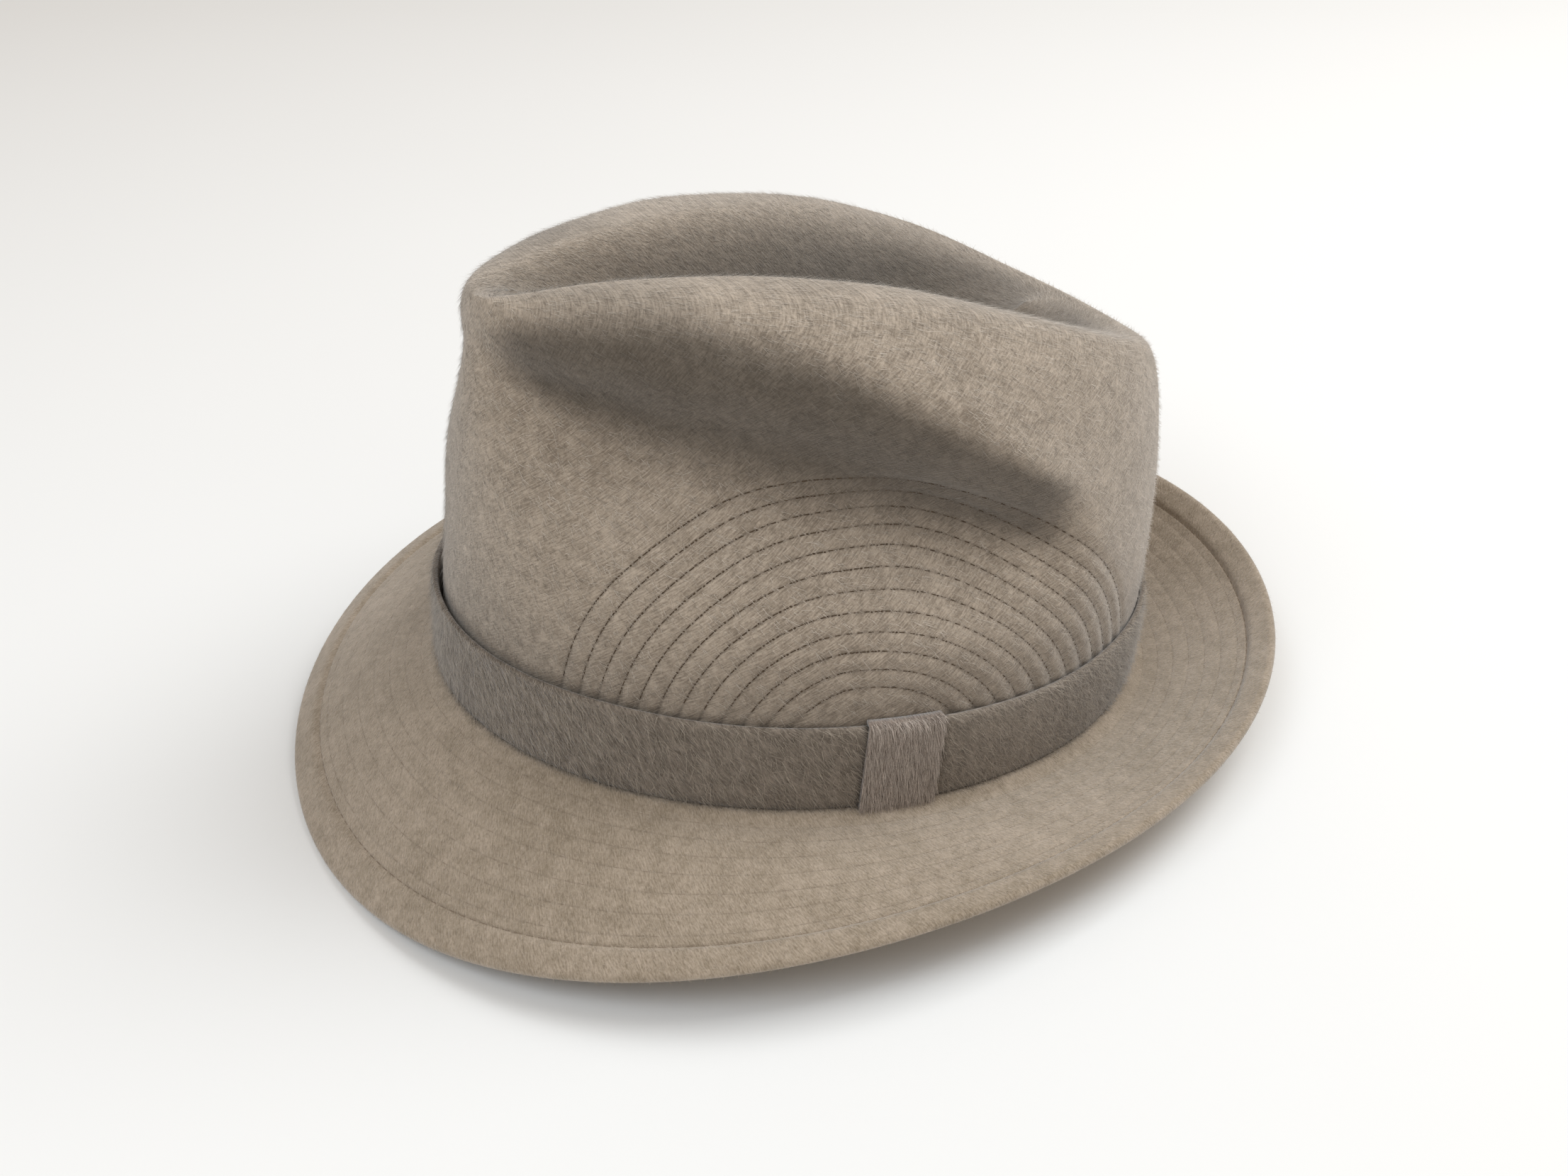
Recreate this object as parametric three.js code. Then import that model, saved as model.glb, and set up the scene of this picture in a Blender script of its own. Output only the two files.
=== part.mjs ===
// A soft felt trilby: teardrop crown with a centre dent and a slanted pinch on
// each side, a brim turned down in front and up behind, a felt band round the
// foot of the crown and a keeper loop on the wearer's left.
//
// Millimetres, +Z up. The hat's front faces -Y and the wearer's left is +X.
// Everything is first shaped in the head frame, with z = 0 at the foot of the
// crown. Last of all the hat is set down on its brim, which tips it back.
// Angles round the head run from the back (0) over the wearer's left (90
// degrees) to the front (180 degrees).
import * as THREE from 'three';

// Head oval, measured outside the felt at the foot of the crown
const HEAD_LENGTH = 209;
const HEAD_WIDTH = 172;

// Felt and fit
const CROWN_FELT = 2.2;
const BRIM_FELT = 2.1;
const BAND_FELT = 1.6;
const KEEPER_FELT = 0.9;
const FIT = 0.3;

// Crown height above its foot, on the two ridges at the middle of the head
const CROWN_HEIGHT = 117.5;

// Ridge loop, a teardrop with its point in front. Reach is a share of half the
// head length, spread of half the head width, height and lift of the crown
// height.
const RIDGE = {
  front: { reach: -0.93, spread: 0.24, height: 0.955 },
  back: { reach: 0.77, spread: 1.08, height: 0.81 },
  widening: 2.2,
  forwardLift: 0.034,
};

// How square the wall stands under the ridge: 2 is a round shoulder
const WALL = { front: 3.8, side: 2.48, back: 2.55 };

// Centre dent between the ridges
const DENT = {
  depth: 30,
  frontInset: 10,
  backInset: 17,
  fullness: 1.85,
  backShift: 0.22,
};

// Slanted pinch on each side. The rows run from the sharp rear end to the nose.
// Heights and spreads are shares of the crown height.
const PINCH_DEPTH = 16;
const PINCH = [
  { angle: 75, depth: 0.0, height: 0.50, above: 0.12, below: 0.13 },
  { angle: 86, depth: 0.66, height: 0.53, above: 0.17, below: 0.15 },
  { angle: 98, depth: 1.0, height: 0.59, above: 0.19, below: 0.18 },
  { angle: 120, depth: 1.0, height: 0.68, above: 0.18, below: 0.21 },
  { angle: 147, depth: 0.88, height: 0.78, above: 0.14, below: 0.19 },
  { angle: 166, depth: 0.36, height: 0.85, above: 0.09, below: 0.15 },
  { angle: 180, depth: 0.0, height: 0.88, above: 0.08, below: 0.13 },
];

// Brim: width along the felt, and height of its edge over the crown's foot
const BRIM_WIDTH = { front: 54, side: 39.5, back: 47.5 };
const BRIM_EDGE = { front: -36.5, side: 2.3, back: 23.3 };
const BRIM_SWEEP = 2.8;
const BRIM_ROLL = { front: 1.22, side: 1.5, back: 1.45 };
const BRIM_SHELF = 4.6;

// Stitched welt along the brim's edge
const WELT_WIDTH = 7;
const WELT_RISE = 0.9;
const WELT_STEP = 0.7;
const EDGE_ROUND = 1.0;

// Hatband and keeper
const BAND_HEIGHT = 25.5;
const KEEPER_WIDTH = 20;
const KEEPER_ANGLE = 103;
const KEEPER_EASE = 11;

// Depth by which the felt flattens where it rests
const SETTLE = 0.6;

// Mesh steps
const COLUMNS = 72;
const WALL_ROWS = 13;
const DENT_ROWS = 5;
const SEAM_END = 3;
const BRIM_ROWS = 6;
const KEEPER_COLUMNS = 6;

const HALF_LENGTH = HEAD_LENGTH / 2;
const HALF_WIDTH = HEAD_WIDTH / 2;
const RAD = Math.PI / 180;

const mix = (a, b, t) => a + (b - a) * t;
const smooth = (t) => {
  const k = Math.min(1, Math.max(0, t));
  return k * k * (3 - 2 * k);
};

// A size that is known in front, at the sides and behind, carried smoothly
// round the head
function around(theta, size) {
  const mean = (size.front + size.back) / 4 + size.side / 2;
  const swing = (size.back - size.front) / 2;
  const oval = (size.front + size.back) / 4 - size.side / 2;
  return mean + swing * Math.cos(theta) + oval * Math.cos(2 * theta);
}

// Head oval at the crown's foot and its outward direction
function footOval(theta) {
  const x = HALF_WIDTH * Math.sin(theta);
  const y = HALF_LENGTH * Math.cos(theta);
  const nx = Math.sin(theta) / HALF_WIDTH;
  const ny = Math.cos(theta) / HALF_LENGTH;
  const length = Math.hypot(nx, ny);
  return { x, y, nx: nx / length, ny: ny / length };
}

// Reading of the pinch table at an angle, eased between its rows
function pinchAt(theta) {
  const angle = Math.acos(Math.cos(theta)) / RAD;
  const last = PINCH.length - 1;
  let row = 0;
  while (row < last - 1 && angle > PINCH[row + 1].angle) row += 1;
  const a = PINCH[row];
  const b = PINCH[row + 1];
  const t = smooth((angle - a.angle) / (b.angle - a.angle));
  return {
    depth: PINCH_DEPTH * mix(a.depth, b.depth, t),
    height: CROWN_HEIGHT * mix(a.height, b.height, t),
    above: CROWN_HEIGHT * mix(a.above, b.above, t),
    below: CROWN_HEIGHT * mix(a.below, b.below, t),
  };
}

// Height of the ridges at a place between the front and the back of the loop
function ridgeHeight(theta) {
  const c = Math.cos(theta);
  const { front, back, forwardLift } = RIDGE;
  const slope = (back.height - front.height) / 2;
  const bow = (back.height + front.height) / 2 - 1;
  const lift = forwardLift * (c - c ** 3);
  return CROWN_HEIGHT * (1 + slope * c + bow * c * c - lift);
}

function ridgePoint(theta) {
  const c = Math.cos(theta);
  const { front, back, widening } = RIDGE;
  const along = (1 + c) / 2;
  const spread = mix(front.spread, back.spread, along ** widening);
  return {
    x: HALF_WIDTH * spread * Math.sin(theta),
    y: HALF_LENGTH * mix(front.reach, back.reach, along),
    z: ridgeHeight(theta),
  };
}

// Outer face of the wall at a share of the way up to the ridge
function wallPoint(theta, share) {
  const foot = footOval(theta);
  const ridge = ridgePoint(theta);
  const square = around(theta, WALL);
  const out = Math.pow(1 - Math.pow(share, square), 1 / square);
  const z = ridge.z * share;
  const pinch = pinchAt(theta);
  const spread = z > pinch.height ? pinch.above : pinch.below;
  const off = (z - pinch.height) / spread;
  const depth = pinch.depth * Math.exp(-off * off) * smooth((1 - share) * 9);
  return new THREE.Vector3(
    mix(ridge.x, foot.x, out) - depth * foot.nx,
    mix(ridge.y, foot.y, out) - depth * foot.ny,
    z,
  );
}

// Slope from the ridge down to the bottom of the centre dent
function dentPoint(theta, share) {
  const ridge = ridgePoint(theta);
  const c = Math.cos(theta);
  const front = HALF_LENGTH * RIDGE.front.reach + DENT.frontInset;
  const back = HALF_LENGTH * RIDGE.back.reach - DENT.backInset;
  const y = mix(front, back, (1 + c) / 2);
  const bowl = Math.pow(Math.abs(Math.sin(theta)), DENT.fullness);
  const depth = DENT.depth * bowl * (1 + DENT.backShift * c);
  const fall = Math.sin(share * Math.PI / 2) ** 2;
  return new THREE.Vector3(
    ridge.x * (1 - share),
    mix(ridge.y, y, share),
    ridge.z - depth * fall,
  );
}

// Height of the wall's outer face given in millimetres, moved outward
function besideWall(theta, z, offset) {
  const point = wallPoint(theta, z / ridgeHeight(theta));
  const foot = footOval(theta);
  return new THREE.Vector3(point.x + offset * foot.nx, point.y + offset * foot.ny, z);
}

// Closed surface built from rows of points that run once round the head. Each
// row has the same number of columns.
class Skin {
  constructor() {
    this.points = [];
    this.faces = [];
  }

  add(point) {
    this.points.push(point);
    return this.points.length - 1;
  }

  ring(makePoint) {
    const row = [];
    for (let k = 0; k < COLUMNS; k += 1) {
      row.push(this.add(makePoint((2 * Math.PI * k) / COLUMNS, k)));
    }
    return row;
  }

  strip(lower, upper) {
    const count = lower.length;
    for (let k = 0; k < count; k += 1) {
      const next = (k + 1) % count;
      this.triangle(lower[k], upper[next], lower[next]);
      this.triangle(lower[k], upper[k], upper[next]);
    }
  }

  triangle(a, b, c) {
    if (a !== b && b !== c && c !== a) this.faces.push(a, b, c);
  }

  geometry() {
    const geometry = new THREE.BufferGeometry();
    const flat = this.points.flatMap((p) => [p.x, p.y, p.z]);
    geometry.setAttribute('position', new THREE.Float32BufferAttribute(flat, 3));
    geometry.setIndex(this.faces);
    geometry.computeVertexNormals();
    return geometry;
  }
}

// Row of points down the middle of the dent. The two sides of the head share
// it, and the columns nearest to each end meet in one point.
function seamRow(skin, makePoint) {
  const half = COLUMNS / 2;
  const row = [];
  for (let k = 0; k <= half; k += 1) {
    const atBack = k > 0 && k <= SEAM_END;
    const atFront = k > half - SEAM_END;
    if (atBack || atFront) row.push(row[k - 1]);
    else row.push(skin.add(makePoint((2 * Math.PI * k) / COLUMNS)));
  }
  for (let k = half + 1; k < COLUMNS; k += 1) {
    row.push(row[COLUMNS - k]);
  }
  return row;
}

function crownSkin(skin) {
  const rows = [];
  for (let r = 0; r < WALL_ROWS; r += 1) {
    const share = Math.sin((r / WALL_ROWS) * Math.PI / 2) ** 0.85;
    rows.push(skin.ring((theta) => wallPoint(theta, share)));
  }
  for (let r = 0; r < DENT_ROWS; r += 1) {
    rows.push(skin.ring((theta) => dentPoint(theta, r / DENT_ROWS)));
  }
  rows.push(seamRow(skin, (theta) => dentPoint(theta, 1).setX(0)));
  for (let r = 0; r + 1 < rows.length; r += 1) {
    skin.strip(rows[r], rows[r + 1]);
  }
  return rows;
}

// Outward direction at each point, evened out with its neighbours'
function evenNormals(skin) {
  const attribute = skin.geometry().getAttribute('normal');
  let normals = skin.points.map((_, k) => new THREE.Vector3().fromBufferAttribute(attribute, k));
  for (let pass = 0; pass < 2; pass += 1) {
    const sums = normals.map((normal) => normal.clone());
    for (let f = 0; f < skin.faces.length; f += 3) {
      const corners = skin.faces.slice(f, f + 3);
      for (const a of corners) {
        for (const b of corners) sums[a].add(normals[b]);
      }
    }
    normals = sums.map((sum) => sum.normalize());
  }
  return normals;
}

// Upward direction square to the bottom of the dent
function seamNormal(points, seam, place) {
  const reach = Math.round(seam.length / 15);
  const before = points[seam[Math.max(0, place - reach)]];
  const after = points[seam[Math.min(seam.length - 1, place + reach)]];
  const along = new THREE.Vector3().subVectors(before, after);
  return new THREE.Vector3(0, -along.z, along.y).normalize();
}

// Hollow crown: the outer face and the same face moved inward by the felt
function crownGeometry() {
  const outer = new Skin();
  crownSkin(outer);
  const normals = evenNormals(outer);
  const shell = new Skin();
  const outerRows = crownSkin(shell);
  const count = shell.points.length;
  const innerOf = (k) => k + count;
  const foot = new Set(outerRows[0]);
  const seam = [...new Set(outerRows[outerRows.length - 1])];
  for (let k = 0; k < count; k += 1) {
    const normal = normals[k];
    if (foot.has(k)) normal.setZ(0).normalize();
    if (seam.includes(k)) normal.copy(seamNormal(shell.points, seam, seam.indexOf(k)));
    shell.add(shell.points[k].clone().addScaledVector(normal, -CROWN_FELT));
  }
  const outerFaces = shell.faces.slice();
  for (let f = 0; f < outerFaces.length; f += 3) {
    const [a, b, c] = outerFaces.slice(f, f + 3);
    shell.triangle(innerOf(a), innerOf(c), innerOf(b));
  }
  shell.strip(outerRows[0].map(innerOf), outerRows[0]);
  return shell.geometry();
}

// Top face of the brim at a distance out from the foot of the crown
function brimTop(theta, distance) {
  const foot = footOval(theta);
  const reach = brimReach(theta);
  const rise = brimEdge(theta);
  const share = Math.max(0, (distance - BRIM_SHELF) / (reach - BRIM_SHELF));
  const roll = around(theta, BRIM_ROLL);
  return new THREE.Vector3(
    foot.x + distance * foot.nx,
    foot.y + distance * foot.ny,
    -FIT + rise * Math.pow(share, roll),
  );
}

function brimEdge(theta) {
  const sweep = BRIM_SWEEP * (Math.cos(3 * theta) - Math.cos(theta));
  return around(theta, BRIM_EDGE) + sweep;
}

// Distance of the brim's edge from the crown, seen from above
function brimReach(theta) {
  const width = around(theta, BRIM_WIDTH);
  const rise = brimEdge(theta);
  return Math.sqrt(width * width - rise * rise);
}

// Point at a depth under the top face, square to it
function brimPoint(theta, distance, depth) {
  const step = 0.25;
  const here = brimTop(theta, distance);
  const before = brimTop(theta, distance - step);
  const after = brimTop(theta, distance + step);
  const slope = (after.z - before.z) / (2 * step);
  const length = Math.hypot(1, slope);
  const foot = footOval(theta);
  const out = (slope / length) * depth;
  return new THREE.Vector3(
    here.x + foot.nx * out,
    here.y + foot.ny * out,
    here.z - depth / length,
  );
}

// Section of the brim, out along the top, round the edge and back below
function brimSection(theta) {
  const reach = brimReach(theta);
  const weltStart = reach - WELT_WIDTH;
  const section = [brimPoint(theta, -CROWN_FELT, 0), brimPoint(theta, BRIM_SHELF, 0)];
  for (let r = 1; r <= BRIM_ROWS; r += 1) {
    const share = r / BRIM_ROWS;
    section.push(brimPoint(theta, mix(BRIM_SHELF, weltStart, share), 0));
  }
  section.push(brimPoint(theta, weltStart + WELT_STEP, -WELT_RISE));
  section.push(brimPoint(theta, reach - EDGE_ROUND, -WELT_RISE));
  section.push(brimPoint(theta, reach, EDGE_ROUND - WELT_RISE));
  section.push(brimPoint(theta, reach, BRIM_FELT - EDGE_ROUND));
  section.push(brimPoint(theta, reach - EDGE_ROUND, BRIM_FELT));
  section.push(brimPoint(theta, weltStart, BRIM_FELT));
  for (let r = BRIM_ROWS - 1; r >= 0; r -= 1) {
    const share = r / BRIM_ROWS;
    section.push(brimPoint(theta, mix(BRIM_SHELF, weltStart, share), BRIM_FELT));
  }
  section.push(brimPoint(theta, -CROWN_FELT, BRIM_FELT));
  return section;
}

// Solid of one section carried round the head
function ringGeometry(makeSection) {
  const skin = new Skin();
  const sections = [];
  for (let k = 0; k < COLUMNS; k += 1) {
    sections.push(makeSection((2 * Math.PI * k) / COLUMNS));
  }
  const rows = sections[0].map((_, r) => skin.ring((_theta, k) => sections[k][r]));
  rows.forEach((row, r) => skin.strip(rows[(r + 1) % rows.length], row));
  return skin.geometry();
}

// The band rides up a little where the keeper passes under it
function bandFoot(theta) {
  const away = Math.abs(theta / RAD - KEEPER_ANGLE) - keeperHalfTurn() / RAD;
  return (KEEPER_FELT + FIT) * smooth((KEEPER_EASE - away) / (KEEPER_EASE - 360 / COLUMNS));
}

// Half of the keeper's width as an angle round the head
function keeperHalfTurn() {
  const along = HALF_WIDTH * Math.cos(KEEPER_ANGLE * RAD);
  const across = HALF_LENGTH * Math.sin(KEEPER_ANGLE * RAD);
  return KEEPER_WIDTH / 2 / Math.hypot(along, across);
}

function bandSection(theta) {
  const foot = bandFoot(theta);
  const middle = (foot + BAND_HEIGHT) / 2;
  const inside = FIT;
  const outside = FIT + BAND_FELT;
  return [
    besideWall(theta, foot, inside),
    besideWall(theta, middle, inside),
    besideWall(theta, BAND_HEIGHT, inside),
    besideWall(theta, BAND_HEIGHT, outside),
    besideWall(theta, middle, outside),
    besideWall(theta, foot, outside),
  ];
}

// Section of the keeper: a plate over the band with a lip over and under it
function keeperSection(theta) {
  const lip = FIT;
  const inside = FIT + BAND_FELT + FIT;
  const outside = inside + KEEPER_FELT;
  const bottom = 0;
  const top = BAND_HEIGHT + FIT + KEEPER_FELT;
  return [
    [outside, bottom],
    [outside, top],
    [lip, top],
    [lip, top - KEEPER_FELT],
    [inside, top - KEEPER_FELT],
    [inside, bottom + KEEPER_FELT],
    [lip, bottom + KEEPER_FELT],
    [lip, bottom],
  ].map(([offset, z]) => ({
    flat: new THREE.Vector2(offset, z),
    point: besideWall(theta, z, offset),
  }));
}

function keeperGeometry() {
  const skin = new Skin();
  const halfTurn = keeperHalfTurn();
  const columns = [];
  let outline = [];
  for (let k = 0; k <= KEEPER_COLUMNS; k += 1) {
    const theta = KEEPER_ANGLE * RAD + mix(-halfTurn, halfTurn, k / KEEPER_COLUMNS);
    const section = keeperSection(theta);
    outline = section.map((corner) => corner.flat);
    columns.push(section.map((corner) => skin.add(corner.point)));
  }
  for (let k = 0; k < KEEPER_COLUMNS; k += 1) {
    const here = columns[k];
    const next = columns[k + 1];
    for (let r = 0; r < here.length; r += 1) {
      const s = (r + 1) % here.length;
      skin.triangle(here[r], here[s], next[s]);
      skin.triangle(here[r], next[s], next[r]);
    }
  }
  const turn = Math.sign(THREE.ShapeUtils.area(outline));
  const first = columns[0];
  const last = columns[KEEPER_COLUMNS];
  for (const face of THREE.ShapeUtils.triangulateShape(outline, [])) {
    const area = THREE.ShapeUtils.area(face.map((corner) => outline[corner]));
    const [a, b, c] = Math.sign(area) === turn ? face : face.reverse();
    skin.triangle(first[a], first[c], first[b]);
    skin.triangle(last[a], last[b], last[c]);
  }
  return skin.geometry();
}

// Slope of the surface that the brim rests on, seen from the side in the head
// frame: the line that touches the brim once before and once behind the middle
function restSlope(geometry) {
  const position = geometry.getAttribute('position');
  const points = [];
  for (let k = 0; k < position.count; k += 1) {
    points.push({ y: position.getY(k), z: position.getZ(k) });
  }
  let slope = (BRIM_EDGE.back - BRIM_EDGE.front) / HEAD_LENGTH;
  for (let turn = 0; turn < 30; turn += 1) {
    const height = (p) => p.z - slope * p.y;
    const lowest = (a, b) => (height(b) < height(a) ? b : a);
    const front = points.filter((p) => p.y < 0).reduce(lowest);
    const back = points.filter((p) => p.y > 0).reduce(lowest);
    slope = (back.z - front.z) / (back.y - front.y);
  }
  return slope;
}

function dressed(name, geometry, color, roughness) {
  const material = new THREE.MeshStandardMaterial({ color, roughness, metalness: 0 });
  material.name = name;
  const mesh = new THREE.Mesh(geometry, material);
  mesh.name = name;
  return mesh;
}

const crown = dressed('crown', crownGeometry(), 0xa09382, 0.95);
const brim = dressed('brim', ringGeometry(brimSection), 0x9d907f, 0.93);
const hatband = dressed('hatband', ringGeometry(bandSection), 0x6d6257, 0.96);
const bandKeeper = dressed('band_keeper', keeperGeometry(), 0x6f6459, 0.96);
const pieces = [crown, brim, hatband, bandKeeper];

// Set the hat down: level the rest line, put the middle of the brim over the
// origin and press the lowest felt flat
const lean = Math.atan(restSlope(brim.geometry));
for (const piece of pieces) piece.geometry.rotateX(-lean);
brim.geometry.computeBoundingBox();
const { min, max } = brim.geometry.boundingBox;
const toMiddle = -(min.y + max.y) / 2;
const toFloor = -min.z - SETTLE;
for (const piece of pieces) piece.geometry.translate(0, toMiddle, toFloor);
const brimPoints = brim.geometry.getAttribute('position');
for (let k = 0; k < brimPoints.count; k += 1) {
  brimPoints.setZ(k, Math.max(0, brimPoints.getZ(k)));
}
for (const piece of pieces) piece.geometry.computeVertexNormals();

const group = new THREE.Group();
group.name = 'trilby';
group.add(...pieces);

export default group;
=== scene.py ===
"""A soft felt trilby at rest on its brim.

The crown is a dented teardrop with twelve arched rows of topstitching on the
wearer's left. Round its foot go a felt band and a keeper loop, and the brim
is stitched in rings and turned down in front. The hat's own sizes are in
millimetres of the head frame: z = 0 at the foot of the crown, the front at
-Y, the wearer's left at +X, and angles from the back (0) over the wearer's
left (90 degrees) to the front (180 degrees). Meshes are set down in metres.
"""

import logging
import math
from dataclasses import dataclass, field
from enum import Enum

import bmesh
import bpy
import numpy as np
from mathutils import Matrix, Vector


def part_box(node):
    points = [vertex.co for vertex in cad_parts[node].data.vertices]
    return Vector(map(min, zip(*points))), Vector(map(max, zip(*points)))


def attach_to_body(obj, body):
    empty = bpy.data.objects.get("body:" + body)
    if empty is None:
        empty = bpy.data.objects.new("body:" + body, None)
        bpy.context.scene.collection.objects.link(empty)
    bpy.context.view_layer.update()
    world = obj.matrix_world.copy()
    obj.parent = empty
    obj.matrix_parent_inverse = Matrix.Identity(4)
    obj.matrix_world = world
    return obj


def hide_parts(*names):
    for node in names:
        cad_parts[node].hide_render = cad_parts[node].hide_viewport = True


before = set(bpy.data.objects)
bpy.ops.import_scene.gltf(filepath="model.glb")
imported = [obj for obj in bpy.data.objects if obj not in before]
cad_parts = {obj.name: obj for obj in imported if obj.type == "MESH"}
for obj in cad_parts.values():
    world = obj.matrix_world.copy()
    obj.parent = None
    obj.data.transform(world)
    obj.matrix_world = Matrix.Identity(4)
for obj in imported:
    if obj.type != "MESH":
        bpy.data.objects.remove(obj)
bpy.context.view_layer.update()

BODY = "root"
METRE = 0.001
UNSEWN = 30.0
TURN = 2 * math.pi
LOG = logging.getLogger("trilby")

Array = np.ndarray
Colour = tuple[float, float, float]
Piece = bpy.types.Object
Socket = bpy.types.NodeSocket


def mix(a: Array, b: Array, t: Array) -> Array:
    """Return the value a share t of the way from a to b."""
    return a + (b - a) * t


def smooth(t: Array) -> Array:
    """Return an eased 0 to 1 step of t."""
    k = np.clip(t, 0.0, 1.0)
    return k * k * (3 - 2 * k)


def unit(v: Array) -> Array:
    """Return vectors of length one."""
    return v / np.maximum(np.linalg.norm(v, axis=-1, keepdims=True), 1e-9)


def even_angles(count: int) -> Array:
    """Return angles spaced evenly round the head."""
    return np.linspace(0, TURN, count, endpoint=False)


def hex_colour(code: str) -> Colour:
    """Return the linear colour of a display colour.

    Args:
        code: six hexadecimal digits.

    Returns:
        Red, green and blue on a linear scale.
    """
    parts = [int(code[k:k + 2], 16) / 255 for k in (0, 2, 4)]
    return tuple(p / 12.92 if p < 0.04045 else ((p + 0.055) / 1.055) ** 2.4 for p in parts)


def show(name: str, data: bpy.types.ID) -> Piece:
    """Return a new object of the scene that shows some data."""
    thing = bpy.data.objects.new(name, data)
    bpy.context.scene.collection.objects.link(thing)
    return thing


def circle(sides: int, start: float = 0.0) -> list[tuple[float, float]]:
    """Return the corners of a polygon in a circle of width one."""
    turns = [start + TURN * k / sides for k in range(sides)]
    return [(math.cos(turn) / 2, math.sin(turn) / 2) for turn in turns]


@dataclass(frozen=True)
class Around:
    """A size known in front, at the sides and behind, carried round the head."""

    front: float
    side: float
    back: float

    def at(self, theta: Array) -> Array:
        """Return the size at an angle round the head."""
        mean = (self.front + self.back) / 4 + self.side / 2
        swing = (self.back - self.front) / 2
        oval = (self.front + self.back) / 4 - self.side / 2
        return mean + swing * np.cos(theta) + oval * np.cos(2 * theta)


@dataclass(frozen=True)
class RidgeEnd:
    """Front or back end of the ridge loop, as shares of the head's sizes."""

    reach: float
    spread: float
    height: float


@dataclass(frozen=True)
class PinchRow:
    """Depth, height, spreads and lip of the side pinch at one angle, as shares."""

    angle: float
    depth: float
    height: float
    above: float
    below: float
    lip: float


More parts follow.
